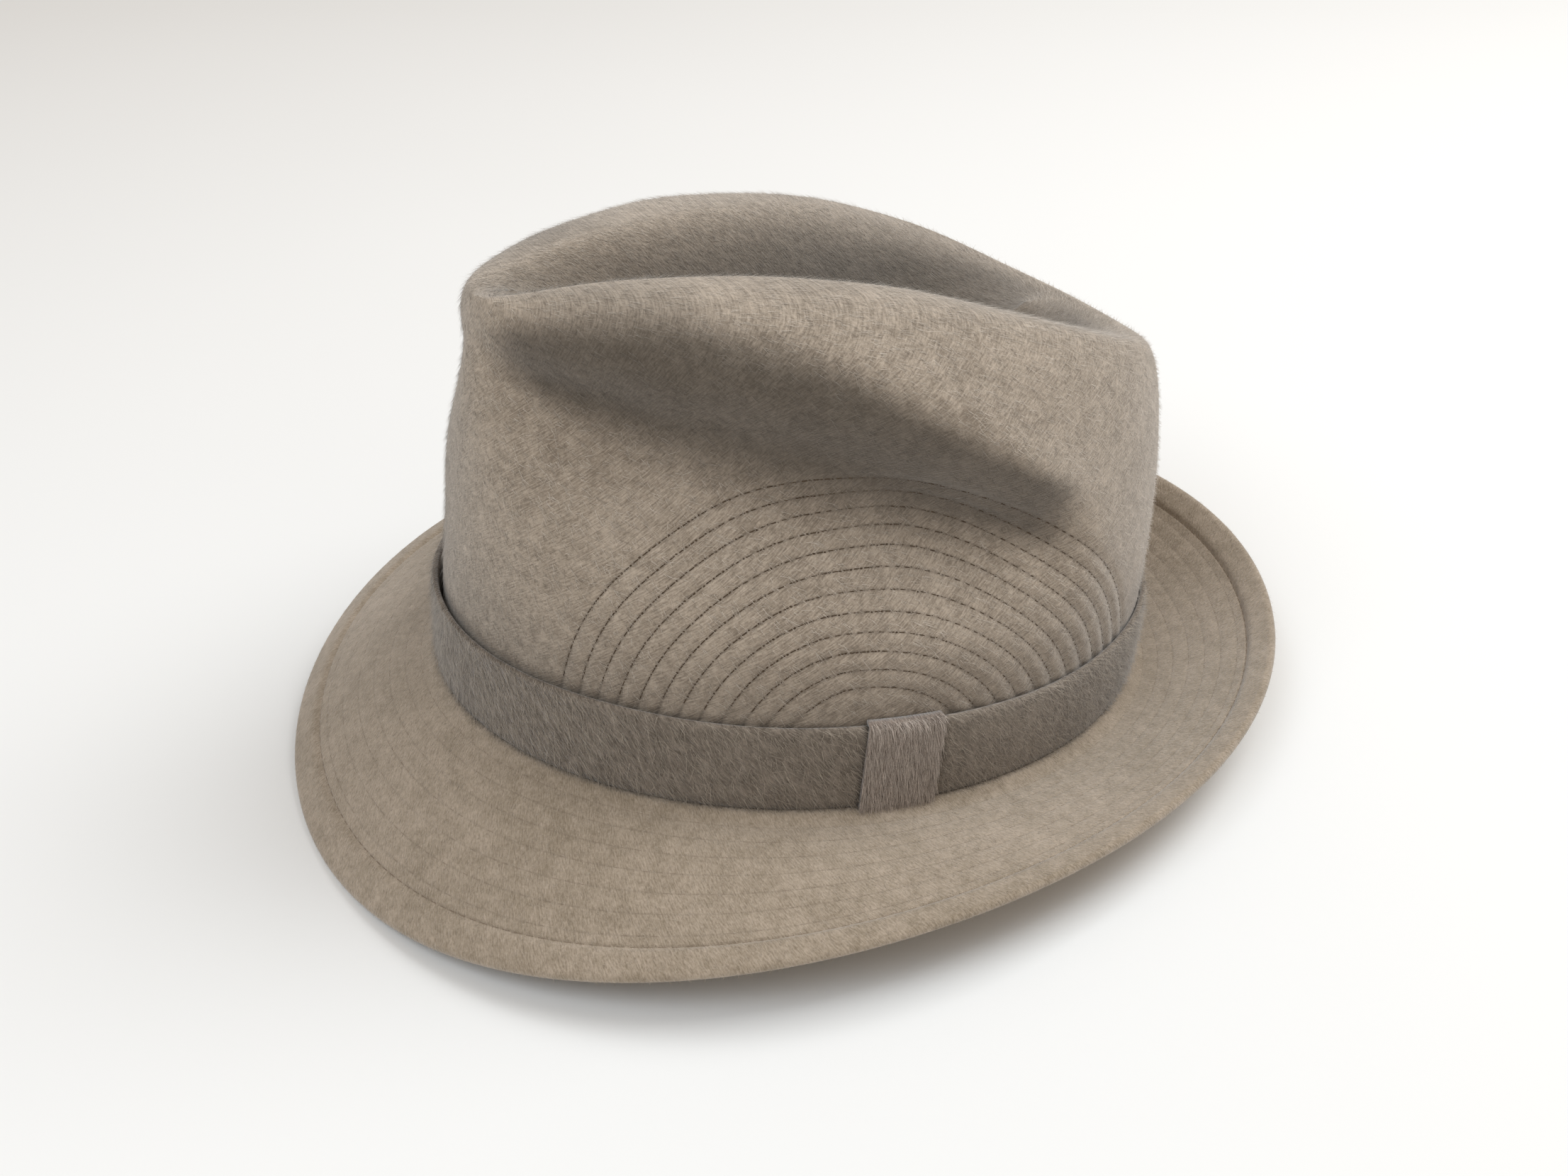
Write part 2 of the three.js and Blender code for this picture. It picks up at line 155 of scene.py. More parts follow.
@dataclass(frozen=True)
class Block:
    """Shape that the crown is formed to, in millimetres of the head frame."""

    half_length: float = 104.5
    half_width: float = 86.0
    height: float = 117.5
    ridge_front: RidgeEnd = RidgeEnd(-0.976, 0.233, 0.956)
    ridge_back: RidgeEnd = RidgeEnd(0.79, 1.07, 0.802)
    widening: float = 2.15
    forward_lift: float = 0.014
    squareness: Around = Around(2.6, 2.48, 2.0)
    dent_depth: float = 33.0
    dent_front_inset: float = 10.0
    dent_back_inset: float = 17.0
    dent_fullness: float = 1.85
    dent_back_shift: float = 0.22
    pinch_depth: float = 19.5
    pinch_clear: float = 13.0
    pinch_lip: float = 2.0
    lip_place: float = 2.0
    lip_width: float = 0.6
    far_ease: float = 0.35
    far_from: float = 126.0
    far_span: float = 26.0
    # The fields below, down to the crease ones, set the painted shade: darker in the side pinch, just over
    # the band and in the centre dent.
    hollow_top: tuple[float, float] = (2.1, 0.7)
    hollow_foot: tuple[float, float] = (0.65, 0.95)
    hollow_gain: float = 2.2
    low_shade: float = 0.36
    low_top: float = 52.0
    low_span: float = 26.0
    crease_start: float = 0.04
    crease_span: float = 0.42
    crease_fade: float = 0.6
    crease_rear: float = 0.45
    pinch: tuple[PinchRow, ...] = (
        PinchRow(71, 0.0, 0.51, 0.08, 0.12, 0.0),
        PinchRow(79, 0.4, 0.54, 0.082, 0.14, 0.7),
        PinchRow(87, 0.82, 0.56, 0.108, 0.15, 1.0),
        PinchRow(98, 1.0, 0.60, 0.136, 0.17, 0.8),
        PinchRow(110, 1.0, 0.65, 0.16, 0.18, 0.3),
        PinchRow(130, 1.0, 0.70, 0.165, 0.19, 0.0),
        PinchRow(147, 0.84, 0.745, 0.125, 0.18, 0.0),
        PinchRow(162, 0.46, 0.79, 0.08, 0.15, 0.0),
        PinchRow(173, 0.1, 0.825, 0.045, 0.13, 0.0),
        PinchRow(180, 0.0, 0.85, 0.07, 0.13, 0.0),
    )

    @property
    def girth(self) -> float:
        """Millimetres round the head for each radian."""
        return (self.half_length + self.half_width) / 2

    def foot(self, theta: Array) -> tuple[Array, Array]:
        """Return the head oval at the crown's foot and its outward direction."""
        sine, cosine = np.sin(theta), np.cos(theta)
        point = np.stack([self.half_width * sine, self.half_length * cosine], -1)
        outward = unit(np.stack([sine / self.half_width, cosine / self.half_length], -1))
        return point, outward

    def ridge_height(self, theta: Array) -> Array:
        """Return the height of the ridge loop."""
        c = np.cos(theta)
        slope = (self.ridge_back.height - self.ridge_front.height) / 2
        bow = (self.ridge_back.height + self.ridge_front.height) / 2 - 1
        lift = self.forward_lift * (c - c ** 3)
        return self.height * (1 + slope * c + bow * c * c - lift)

    def ridge(self, theta: Array) -> Array:
        """Return points on the ridge loop."""
        along = (1 + np.cos(theta)) / 2
        spread = mix(self.ridge_front.spread, self.ridge_back.spread, along ** self.widening)
        reach = mix(self.ridge_front.reach, self.ridge_back.reach, along)
        x = self.half_width * spread * np.sin(theta)
        return np.stack([x, self.half_length * reach, self.ridge_height(theta)], -1)

    def pinch_at(self, theta: Array) -> tuple[Array, Array, Array, Array, Array]:
        """Return depth, height, two spreads and lip of the pinch, in millimetres."""
        angle = np.degrees(np.arccos(np.clip(np.cos(theta), -1, 1)))
        marks = np.array([row.angle for row in self.pinch])
        fine = np.arange(0.0, 181.0)
        ease = np.hanning(15)
        ease /= ease.sum()
        found = []
        for name in ("depth", "height", "above", "below", "lip"):
            table = np.interp(fine, marks, [getattr(row, name) for row in self.pinch])
            table = np.convolve(np.pad(table, 7, mode="reflect"), ease, mode="valid")
            found.append(np.interp(angle, fine, table))
        depth, height, above, below, lip = found
        far = smooth((angle - self.far_from) / self.far_span) * (np.sin(theta) < 0)
        depth = depth * (1 - self.far_ease * far)
        return (depth * self.pinch_depth, height * self.height, above * self.height,
                below * self.height, lip * self.pinch_lip)

    def wall(self, theta: Array, share: Array) -> Array:
        """Return points of the wall's outer face.

        Args:
            theta: angles round the head.
            share: shares of the way up to the ridge.

        Returns:
            Points, with the three coordinates last.
        """
        theta, share = np.broadcast_arrays(theta, share)
        foot, outward = self.foot(theta)
        ridge = self.ridge(theta)
        square = self.squareness.at(theta)
        out = (1 - share ** square) ** (1 / square)
        z = ridge[..., 2] * share
        depth, height, above, below, lip = self.pinch_at(theta)
        off = (z - height) / np.where(z > height, above, below)
        lip = lip * np.exp(-((off - self.lip_place) / self.lip_width) ** 2)
        press = (depth * np.exp(-off * off) - lip) * smooth((1 - share) * self.pinch_clear)
        plan = mix(ridge[..., :2], foot, out[..., None]) - press[..., None] * outward
        return np.concatenate([plan, z[..., None]], -1)

    def dent(self, theta: Array, share: Array) -> Array:
        """Return points on the slope from the ridge to the bottom of the dent."""
        theta, share = np.broadcast_arrays(theta, share)
        ridge = self.ridge(theta)
        c = np.cos(theta)
        front = self.half_length * self.ridge_front.reach + self.dent_front_inset
        back = self.half_length * self.ridge_back.reach - self.dent_back_inset
        bowl = np.abs(np.sin(theta)) ** self.dent_fullness
        depth = self.dent_depth * bowl * (1 + self.dent_back_shift * c)
        fall = np.sin(share * math.pi / 2) ** 2
        x = ridge[..., 0] * (1 - share)
        y = mix(ridge[..., 1], mix(front, back, (1 + c) / 2), share)
        return np.stack([x, y, ridge[..., 2] - depth * fall], -1)

    def wall_hollow(self, theta: Array, z: Array) -> Array:
        """Return the painted shade in the side pinch and just over the band, from 0 to 1."""
        depth, height, above, _, _ = self.pinch_at(theta)
        off = (z - height) / above
        top, top_span = self.hollow_top
        bottom, bottom_span = self.hollow_foot
        inside = smooth((top - off) / top_span) * smooth((off + bottom) / bottom_span)
        low = self.low_shade * smooth((self.low_top - z) / self.low_span)
        return np.maximum(smooth(depth / self.pinch_depth * self.hollow_gain) * inside, low)

    def dent_hollow(self, theta: Array, share: Array) -> Array:
        """Return the painted shade of the centre dent, darker deeper in it, from 0 to 1."""
        theta, share = np.broadcast_arrays(theta, share)
        rear = 1 + self.crease_rear * np.cos(theta)
        inside = smooth((share - self.crease_start) / self.crease_span)
        return inside * np.abs(np.sin(theta)) ** self.crease_fade * rear

    def beside(self, theta: Array, z: Array, offset: Array) -> Array:
        """Return points beside the wall at a height, moved outward by an offset."""
        theta, z, offset = np.broadcast_arrays(theta, z, offset)
        point = self.wall(theta, z / self.ridge_height(theta))
        outward = self.foot(theta)[1]
        return np.concatenate([point[..., :2] + offset[..., None] * outward, z[..., None]], -1)


@dataclass(frozen=True)
class BrimCut:
    """Form of the brim's top face, out from the foot of the crown."""

    block: Block
    width: Around = Around(54.0, 39.5, 47.5)
    edge: Around = Around(-36.5, 2.3, 23.3)
    sweep: float = 2.8
    roll: Around = Around(1.22, 1.5, 1.45)
    shelf: float = 4.6
    sink: float = 0.3
    turn_up: float = 2.0
    turn_start: float = 2.1
    turn_width: float = 2.2

    def rise(self, theta: Array) -> Array:
        """Return the height of the edge over the crown's foot."""
        return self.edge.at(theta) + self.sweep * (np.cos(3 * theta) - np.cos(theta))

    def reach(self, theta: Array) -> Array:
        """Return the distance of the edge from the crown, seen from above."""
        return np.sqrt(self.width.at(theta) ** 2 - self.rise(theta) ** 2)

    def top(self, theta: Array, distance: Array) -> Array:
        """Return points of the top face at a distance from the crown's foot."""
        theta, distance = np.broadcast_arrays(theta, distance)
        foot, outward = self.block.foot(theta)
        share = np.maximum(0, (distance - self.shelf) / (self.reach(theta) - self.shelf))
        turned = np.exp(-(np.maximum(0, distance - self.turn_start) / self.turn_width) ** 2)
        z = -self.sink + self.turn_up * turned + self.rise(theta) * share ** self.roll.at(theta)
        return np.concatenate([foot + distance[..., None] * outward, z[..., None]], -1)

    def point(self, theta: Array, distance: Array, depth: Array) -> Array:
        """Return points at a depth under the top face, square to it."""
        theta, distance, depth = np.broadcast_arrays(theta, distance, depth)
        step = 0.25
        here = self.top(theta, distance)
        rise = self.top(theta, distance + step)[..., 2] - self.top(theta, distance - step)[..., 2]
        slope = rise / (2 * step)
        length = np.hypot(1, slope)
        outward = self.block.foot(theta)[1]
        plan = here[..., :2] + (slope / length * depth)[..., None] * outward
        return np.concatenate([plan, (here[..., 2] - depth / length)[..., None]], -1)


@dataclass
class Rest:
    """How the hat stands: its lean back and where it is set down."""

    lean: float
    shift: Array

    @classmethod
    def on_brim(cls, cut: BrimCut, felt: float) -> "Rest":
        """Find the rest of a hat that stands on its brim.

        Args:
            cut: form of the brim.
            felt: thickness of the brim.

        Returns:
            The lean of the rest line, with the brim's middle over the origin.
        """
        theta = even_angles(72)[:, None]
        out = np.linspace(0, 1, 60)[None, :] * cut.reach(theta)
        points = cut.point(theta, out, felt)[..., 1:].reshape(-1, 2)
        front, back = points[points[:, 0] < 0], points[points[:, 0] > 0]
        slope = 0.0
        for _ in range(30):
            a = front[np.argmin(front[:, 1] - slope * front[:, 0])]
            b = back[np.argmin(back[:, 1] - slope * back[:, 0])]
            slope = (b[1] - a[1]) / (b[0] - a[0])
        lean = math.atan(slope)
        rest = cls(lean, np.zeros(3))
        edge = rest.place(cut.point(theta, cut.reach(theta), felt / 2).reshape(-1, 3)) / METRE
        middle = -(edge[:, 1].min() + edge[:, 1].max()) / 2
        crown_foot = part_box("crown")[0].z / METRE + cut.block.half_length * math.sin(lean)
        return cls(lean, np.array([0.0, middle, crown_foot]))

    def place(self, points: Array) -> Array:
        """Return points of the head frame set down on the floor, in metres."""
        return (self.turn(points) + self.shift) * METRE

    def turn(self, directions: Array) -> Array:
        """Return directions of the head frame leaned as the hat is."""
        c, s = math.cos(self.lean), math.sin(self.lean)
        y = directions[..., 1] * c + directions[..., 2] * s
        z = -directions[..., 1] * s + directions[..., 2] * c
        return np.stack([directions[..., 0], y, z], -1)


def grid_frame(points: Array, ring: bool = True) -> tuple[Array, Array, Array]:
    """Measure a grid of points.

    Args:
        points: rows, columns and coordinates. Columns run round the head.
        ring: whether the last column meets the first.

    Returns:
        Outward normals, directions along the columns and up the rows.
    """
    if ring:
        along = np.roll(points, -1, 1) - np.roll(points, 1, 1)
    else:
        along = np.gradient(points, axis=1)
    up = np.gradient(points, axis=0)
    along, up = unit(along), unit(up)
    normal = unit(np.cross(up, along))
    return normal, along, up


class Cloth:
    """Mesh made of grids of points, in millimetres of the head frame."""

    def __init__(self, rest: Rest) -> None:
        """Start an empty mesh that will be set down as rest says."""
        self.rest = rest
        self.count = 0
        self.points: list[Array] = []
        self.faces: list[Array] = []
        self.maps: list[Array] = []
        self.values: dict[str, list[Array]] = {}

    def add(self, grid: Array, **values: Array) -> Array:
        """Add a grid of points and return their indices."""
        index = np.arange(grid[..., 0].size).reshape(grid.shape[:-1]) + self.count
        self.points.append(grid.reshape(-1, 3))
        self.count += index.size
        for name, value in values.items():
            self.values.setdefault(name, []).append(np.broadcast_to(value, index.shape).ravel())
        return index

    def skin(self, index: Array, chart: Array, ring: bool = True, loop: bool = False,
             turned: bool = False) -> None:
        """Cover a grid with faces.

        Args:
            index: indices of the grid's points, in rows and columns.
            chart: nap map of the grid, in millimetres, one column wider on a ring.
            ring: whether the last column meets the first.
            loop: whether the last row meets the first.
            turned: whether the faces look to the other side.
        """
        if ring:
            index = np.concatenate([index, index[:, :1]], 1)
        if loop:
            index = np.concatenate([index, index[:1]], 0)
        corners = ((1, 0), (1, 1), (0, 1), (0, 0))
        if turned:
            corners = corners[::-1]
        rows, columns = index.shape[0] - 1, index.shape[1] - 1
        self.faces.append(np.stack(
            [index[a:a + rows, b:b + columns] for a, b in corners], -1).reshape(-1, 4))
        self.maps.append(np.stack(
            [chart[a:a + rows, b:b + columns] for a, b in corners], -2).reshape(-1, 4, 2))

    def build(self, name: str, merge: float = 0.0, flatten: bool = False) -> Piece:
        """Make the object.

        Args:
            name: name of the piece.
            merge: distance in millimetres within which points become one.
            flatten: whether the lowest felt is pressed flat on the floor.

        Returns:
            The new piece, with its nap map and its point values.
        """
        points = self.rest.place(np.concatenate(self.points))
        if flatten:
            points[:, 2] = np.maximum(points[:, 2], 0.0)
        faces = np.concatenate(self.faces)
        mesh = bpy.data.meshes.new(name)
        mesh.from_pydata(points.tolist(), [], faces.tolist())
        layer = mesh.uv_layers.new(name="nap")
        layer.data.foreach_set("uv", np.concatenate(self.maps).astype(np.float32).ravel())
        for key, parts in self.values.items():
            values = mesh.attributes.new(key, "FLOAT", "POINT")
            values.data.foreach_set("value", np.concatenate(parts).astype(np.float32))
        piece = show(name, mesh)
        if merge:
            body = bmesh.new()
            body.from_mesh(mesh)
            bmesh.ops.remove_doubles(body, verts=body.verts, dist=merge * METRE)
            bmesh.ops.dissolve_degenerate(body, edges=body.edges, dist=merge * METRE / 2)
            body.to_mesh(mesh)
            body.free()
        mesh.shade_smooth()
        return piece


def chart_of(along: Array, up: Array) -> Array:
    """Return a nap map from distances along the columns and up the rows."""
    along, up = np.broadcast_arrays(along, up)
    return np.stack([along, up], -1)


def way_round(points: Array) -> Array:
    """Return the distance of each row of a closed section from its first row."""
    travel = np.cumsum(np.linalg.norm(np.diff(points[:, 0], axis=0), axis=-1))
    return np.concatenate([[0], travel, [travel[-1] + 1]])[:, None]


@dataclass(frozen=True)
class Finish:
    """Look of a piece, with the material that carries it."""

    name: str

    def material(self) -> bpy.types.Material:
        """Return the material, made on first use."""
        found = bpy.data.materials.get(self.name)
        if found:
            return found
        board = Board(self.name)
        self.paint(board)
        return board.material

    def paint(self, board: "Board") -> None:
        """Put the finish's nodes on a board."""
        raise NotImplementedError


@dataclass(frozen=True)
class FeltFinish(Finish):
    """Look of a felt: its two colours, its patches, its nap streaks and its sheen, with painted shade and
    a painted line along sewn rows where asked.
    """

    light: Colour
    dark: Colour
    patch: float = 34.0
    patch_share: float = 0.35
    streak_width: float = 0.36
    streak_length: float = 3.0
    lay: float = 32.0
    streak_share: float = 1.15
    relief: float = 0.16
    mottle: float = 0.12
    mottle_share: float = 1.3
    grain: float = 0.55
    grain_share: float = 0.5
    sheen: float = 0.45
    row_line_and_shade: float = 0.0
    row_count: float = 0.0
    line_and_shade_colour: Colour = (0.05, 0.036, 0.024)
    line_and_shade_strength: float = 0.7
    hollow_share: float = 0.0
    hollow_colour: Colour = (0.042, 0.035, 0.027)

    def paint(self, board: "Board") -> None:
        """Put the nodes of the felt on a board."""
        patch = board.noise(board.object_map(1 / (self.patch * METRE)), detail=3.0)
        mottle = board.noise(board.object_map(1 / (self.patch * METRE * self.mottle)), detail=5.0)
        streak_map = board.nap_map(self.lay, 1 / self.streak_width, 1 / self.streak_length)
        streak = board.noise(streak_map, detail=2.0)
        grain = board.noise(board.object_map(1 / (self.grain * METRE)), detail=2.0)
        tone = board.sum(0.5, [
            (patch, self.patch_share),
            (mottle, self.patch_share * self.mottle_share),
            (streak, self.streak_share),
            (grain, self.streak_share * self.grain_share),
        ])
        colour = board.blend(tone, self.dark, self.light)
        # Painted shade: the colour darkens where the piece's points carry a shade value.
        if self.hollow_share:
            hollow = board.attribute("hollow")
            colour = board.blend(hollow, colour, self.hollow_colour, self.hollow_share)
        height = board.sum(0.0, [(streak, 1.0), (grain, self.grain_share)])
        # A dark line is painted along each sewn row: painted shade in the row's groove, with the dark of
        # its stitching.
        if self.row_line_and_shade:
            line = board.row_line_and_shade(self.row_line_and_shade, self.row_count)
            colour = board.blend(line, colour, self.line_and_shade_colour, self.line_and_shade_strength)
        board.shade(colour, height, self.relief * METRE, self.sheen)


@dataclass(frozen=True)
class HairFinish(Finish):
    """Look of single nap hairs, from the darkest to the lightest."""

    dark: Colour
    light: Colour
    sheen: float = 0.4
    hollow_share: float = 0.0
    hollow_colour: Colour = (0.048, 0.04, 0.031)

    def paint(self, board: "Board") -> None:
        """Put the nodes of the hairs on a board."""
        colour = board.blend(board.attribute("tone"), self.dark, self.light)
        # Painted shade: the hairs darken by the shade value that they carry from the felt below.
        if self.hollow_share:
            hollow = board.attribute("hollow")
            colour = board.blend(hollow, colour, self.hollow_colour, self.hollow_share)
        board.shade(colour, None, 0.0, self.sheen)


@dataclass(frozen=True)
class ThreadFinish(Finish):
    """Look of sewing thread, with its twist."""

    light: Colour
    dark: Colour
    twist: float = 0.5
    twist_relief: float = 0.05
    sheen: float = 0.1

    def paint(self, board: "Board") -> None:
        """Put the nodes of the thread on a board."""
        strand = board.noise(board.object_map(1 / (self.twist * METRE)), detail=1.0)
        colour = board.blend(board.sum(0.5, [(strand, 0.9)]), self.dark, self.light)
        board.shade(colour, strand, self.twist_relief * METRE, self.sheen)


class Board:
    """Node tree of one material, with the few kinds of node that the hat needs."""

    def __init__(self, name: str) -> None:
        """Start an empty material."""
        self.material = bpy.data.materials.new(name)
        self.material.use_nodes = True
        self.tree = self.material.node_tree
        self.tree.nodes.clear()

    def _node(self, kind: str, inputs: dict[str | int, object] | None = None,
              **settings: object) -> bpy.types.Node:
        """Add a node.

        Args:
            kind: type of the node.
            inputs: a value, or a socket to link, for each input named.
            settings: the node's own settings.

        Returns:
            The new node.
        """
        node = self.tree.nodes.new(kind)
        for key, value in settings.items():
            setattr(node, key, value)
        for key, value in (inputs or {}).items():
            if isinstance(value, Socket):
                self.tree.links.new(value, node.inputs[key])
            else:
                node.inputs[key].default_value = value
        return node

    def object_map(self, scale: float) -> Socket:
        """Return the piece's own coordinates times a scale."""
        own = self._node("ShaderNodeTexCoord").outputs["Object"]
        return self._node("ShaderNodeMapping", {"Scale": (scale,) * 3, "Vector": own}).outputs["Vector"]

    def nap_map(self, lay: float, across: float, along: float) -> Socket:
        """Return the nap map turned to the lay, scaled across and along it."""
        chart = self._node("ShaderNodeUVMap", uv_map="nap").outputs["UV"]
        turned = self._node("ShaderNodeMapping", {"Rotation": (0, 0, math.radians(lay)), "Vector": chart})
        scaled = {"Scale": (along, across, 1), "Vector": turned.outputs["Vector"]}
        return self._node("ShaderNodeMapping", scaled).outputs["Vector"]

    def noise(self, where: Socket, detail: float) -> Socket:
        """Return soft noise of about 0 to 1."""
        inputs = {"Scale": 1.0, "Detail": detail, "Roughness": 0.6, "Vector": where}
        return self._node("ShaderNodeTexNoise", inputs).outputs["Fac"]

    def attribute(self, name: str) -> Socket:
        """Return a value that the piece's points carry."""
        return self._node("ShaderNodeAttribute", attribute_name=name).outputs["Fac"]

    def math(self, operation: str, a: Socket | float, b: Socket | float | None = None) -> Socket:
        """Return the result of a sum on sockets or numbers."""
        inputs = {0: a} if b is None else {0: a, 1: b}
        return self._node("ShaderNodeMath", inputs, operation=operation).outputs[0]

    def sum(self, start: float, parts: list) -> Socket:
        """Return start plus each noise's swing about its middle times its share."""
        total = None
        for source, share in parts:
            swing = self.math("MULTIPLY", self.math("SUBTRACT", source, 0.5), share * 2)
            total = swing if total is None else self.math("ADD", total, swing)
        return self.math("ADD", total, start)

    def blend(self, factor: Socket, low: Socket | Colour, high: Colour, share: float = 1.0) -> Socket:
        """Return the colour between two others by a factor times a share."""
        if share != 1:
            factor = self.math("MULTIPLY", factor, share)
        base = low if isinstance(low, Socket) else (*low, 1)
        inputs = {0: factor, 6: base, 7: (*high, 1)}
        return self._node("ShaderNodeMix", inputs, data_type="RGBA", clamp_factor=True).outputs[2]

    def row_line_and_shade(self, width: float, count: float) -> Socket:
        """Return 1 on each sewn row and 0 between them, where a dark line is painted: painted shade in the
        row's groove, with the dark of its stitching.

        Args:
            width: half width of a line, as a share of the space between rows.
            count: number of rows, counted from 0 by the value named row.

        Returns:
            The strength of the line.
        """
        row = self.attribute("row")
        nearest = self.math("ROUND", row)
        away = self.math("ABSOLUTE", self.math("SUBTRACT", row, nearest))
        line = self.math("SUBTRACT", 1.0, self.math("DIVIDE", away, width))
        first = self.math("GREATER_THAN", row, -0.5)
        last = self.math("LESS_THAN", row, count - 0.5)
        inside = self.math("MULTIPLY", first, last)
        return self.math("MAXIMUM", self.math("MULTIPLY", line, inside), 0.0)

    def shade(self, colour: Socket, height: Socket | None,
              relief: float, sheen: float) -> None:
        """Finish the material as rough felt or thread."""
        inputs = {"Roughness": 0.95, "Specular IOR Level": 0.15, "Sheen Weight": sheen,
                  "Sheen Roughness": 0.5, "Base Color": colour}
        if height is not None:
            bump = self._node("ShaderNodeBump", {"Distance": relief, "Strength": 1.0, "Height": height})
            inputs["Normal"] = bump.outputs["Normal"]
        shader = self._node("ShaderNodeBsdfPrincipled", inputs)
        self._node("ShaderNodeOutputMaterial", {"Surface": shader.outputs["BSDF"]})


def attach(piece: Piece, slot: str, finish: Finish, *nodes: str) -> Piece:
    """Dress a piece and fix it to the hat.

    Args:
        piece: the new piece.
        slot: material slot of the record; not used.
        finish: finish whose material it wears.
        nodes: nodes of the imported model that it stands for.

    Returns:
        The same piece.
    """
    piece.data.materials.clear()
    piece.data.materials.append(finish.material())
    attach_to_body(piece, BODY)
    if nodes:
        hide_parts(*nodes)
    faces = sum(len(face.vertices) - 2 for face in piece.data.polygons)
    LOG.info("%s: %d triangles", piece.name, faces)
    return piece


def solids(name: str, rest: Rest, shape: Array, faces: list, places: Array,
           shading: Array | None = None, **values: Array) -> Piece:
    """Join many copies of a small closed shape into one mesh.

    Args:
        name: name of the piece.
        rest: how the hat stands.
        shape: points of the shape.
        faces: its faces.
        places: frames of the copies: origin and three axes, in millimetres.
        shading: direction in which each copy is shaded, where it isn't its own.
        values: a value for each copy, kept on its points.

    Returns:
        The joined piece.
    """
    count, corners = len(places), shape.shape[-2]
    points = places[:, None, 0] + np.einsum("pk,nkc->npc", shape, places[:, 1:])
    points = rest.place(points.reshape(-1, 3))
    points[:, 2] = np.maximum(points[:, 2], 0.0)
    sizes = np.array([len(face) for face in faces])
    flat = np.concatenate([np.array(face) for face in faces])
    loops = (flat[None, :] + corners * np.arange(count)[:, None]).ravel()
    starts = np.concatenate([[0], np.cumsum(np.tile(sizes, count))[:-1]])
    mesh = bpy.data.meshes.new(name)
    mesh.vertices.add(len(points))
    mesh.vertices.foreach_set("co", points.astype(np.float32).ravel())
    mesh.loops.add(len(loops))
    mesh.loops.foreach_set("vertex_index", loops.astype(np.int32))
    mesh.polygons.add(len(starts))
    mesh.polygons.foreach_set("loop_start", starts.astype(np.int32))
    mesh.update(calc_edges=True)
    for key, value in values.items():
        attribute = mesh.attributes.new(key, "FLOAT", "POINT")
        attribute.data.foreach_set("value", np.repeat(value, corners).astype(np.float32))
    if shading is not None:
        mesh.normals_split_custom_set_from_vertices(np.repeat(rest.turn(shading), corners, 0).tolist())
    return show(name, mesh)


@dataclass
class Nap:
    """Hairs brushed over a felt, each a slim closed spike."""

    name: str
    count: int
    length: tuple[float, float]
    width: float = 0.17
    lift: tuple[float, float] = (6.0, 24.0)
    lay: float = 50.0
    spread: float = 16.0
    flatness: float = 0.4
    girth: tuple[float, float] = (0.7, 1.25)
    sunk: float = 0.03
    row_length: float = 0.35
    row_growth: float = 1.9
    seed: int = 1

    def grow(self, rest: Rest, grid: Array, weight: Array | None = None, ring: bool = True,
             rows: Array | None = None, hollow: Array | None = None) -> Piece:
        """Plant the hairs on a grid.

        Args:
            rest: how the hat stands.
            grid: points of the felt, in rows and columns.
            weight: how thickly hairs stand at each point.
            ring: whether the last column meets the first.
            rows: number of the sewn row at each point, which hairs don't cross.
            hollow: painted shade at each point, which darkens the hairs there.

        Returns:
            The piece with all the hairs.
        """
        rng = np.random.default_rng(self.seed)
        normal, along, up = grid_frame(grid, ring)
        fields = [grid, normal, along, up]
        extra = [np.full(grid.shape[:2], plain) if given is None else given
                 for given, plain in ((weight, 1.0), (rows, 0.0), (hollow, 0.0))]
        if ring:
            fields = [np.concatenate([f, f[:, :1]], 1) for f in fields]
            extra = [np.concatenate([f, f[:, :1]], 1) for f in extra]
        points = fields[0]
        across = np.linalg.norm(np.diff(points, axis=1)[:-1], axis=-1)
        tall = np.linalg.norm(np.diff(points, axis=0)[:, :-1], axis=-1)
        area = (across * tall * extra[0][:-1, :-1]).ravel()
        cells = rng.choice(area.size, self.count, p=area / area.sum())
        row, column = np.unravel_index(cells, across.shape)
        u, v = rng.random(self.count), rng.random(self.count)

        def read(values: Array) -> Array:
            """Return the values of a grid between its points."""
            shape = (-1,) + (1,) * (values.ndim - 2)
            a, b = u.reshape(shape), v.reshape(shape)
            low = mix(values[row, column], values[row, column + 1], a)
            high = mix(values[row + 1, column], values[row + 1, column + 1], a)
            return mix(low, high, b)

        root, n, t, s = (read(f) for f in fields)
        turn = np.radians(self.lay + rng.normal(0, self.spread, self.count))[:, None]
        ahead = unit(-t * np.cos(turn) - s * np.sin(turn))
        ahead = unit(ahead - n * (ahead * n).sum(-1, keepdims=True))
        lift = np.radians(rng.uniform(*self.lift, self.count))[:, None]
        way = ahead * np.cos(lift) + n * np.sin(lift)
        length = rng.uniform(*self.length, self.count)
        if rows is not None:
            number = read(extra[1])
            step = np.abs(number - np.round(number))
            length = length * np.clip(self.row_length + step * self.row_growth, self.row_length, 1.0)
        side = unit(np.cross(way, n))
        top = np.cross(side, way)
        shape = np.array([*((0.0, x, y) for x, y in circle(3, TURN / 4)), (1.0, 0.0, 0.0)])
        girth = self.width * rng.uniform(*self.girth, self.count)
        height = girth * self.flatness
        axes = np.stack([way * length[:, None], side * girth[:, None], top * height[:, None]], 1)
        places = np.concatenate([(root - n * self.sunk)[:, None], axes], 1)
        faces = [(0, 1, 2), (1, 0, 3), (2, 1, 3), (0, 2, 3)]
        return solids(self.name, rest, shape, faces, places, shading=unit(n),
                      tone=rng.random(self.count), hollow=read(extra[2]))


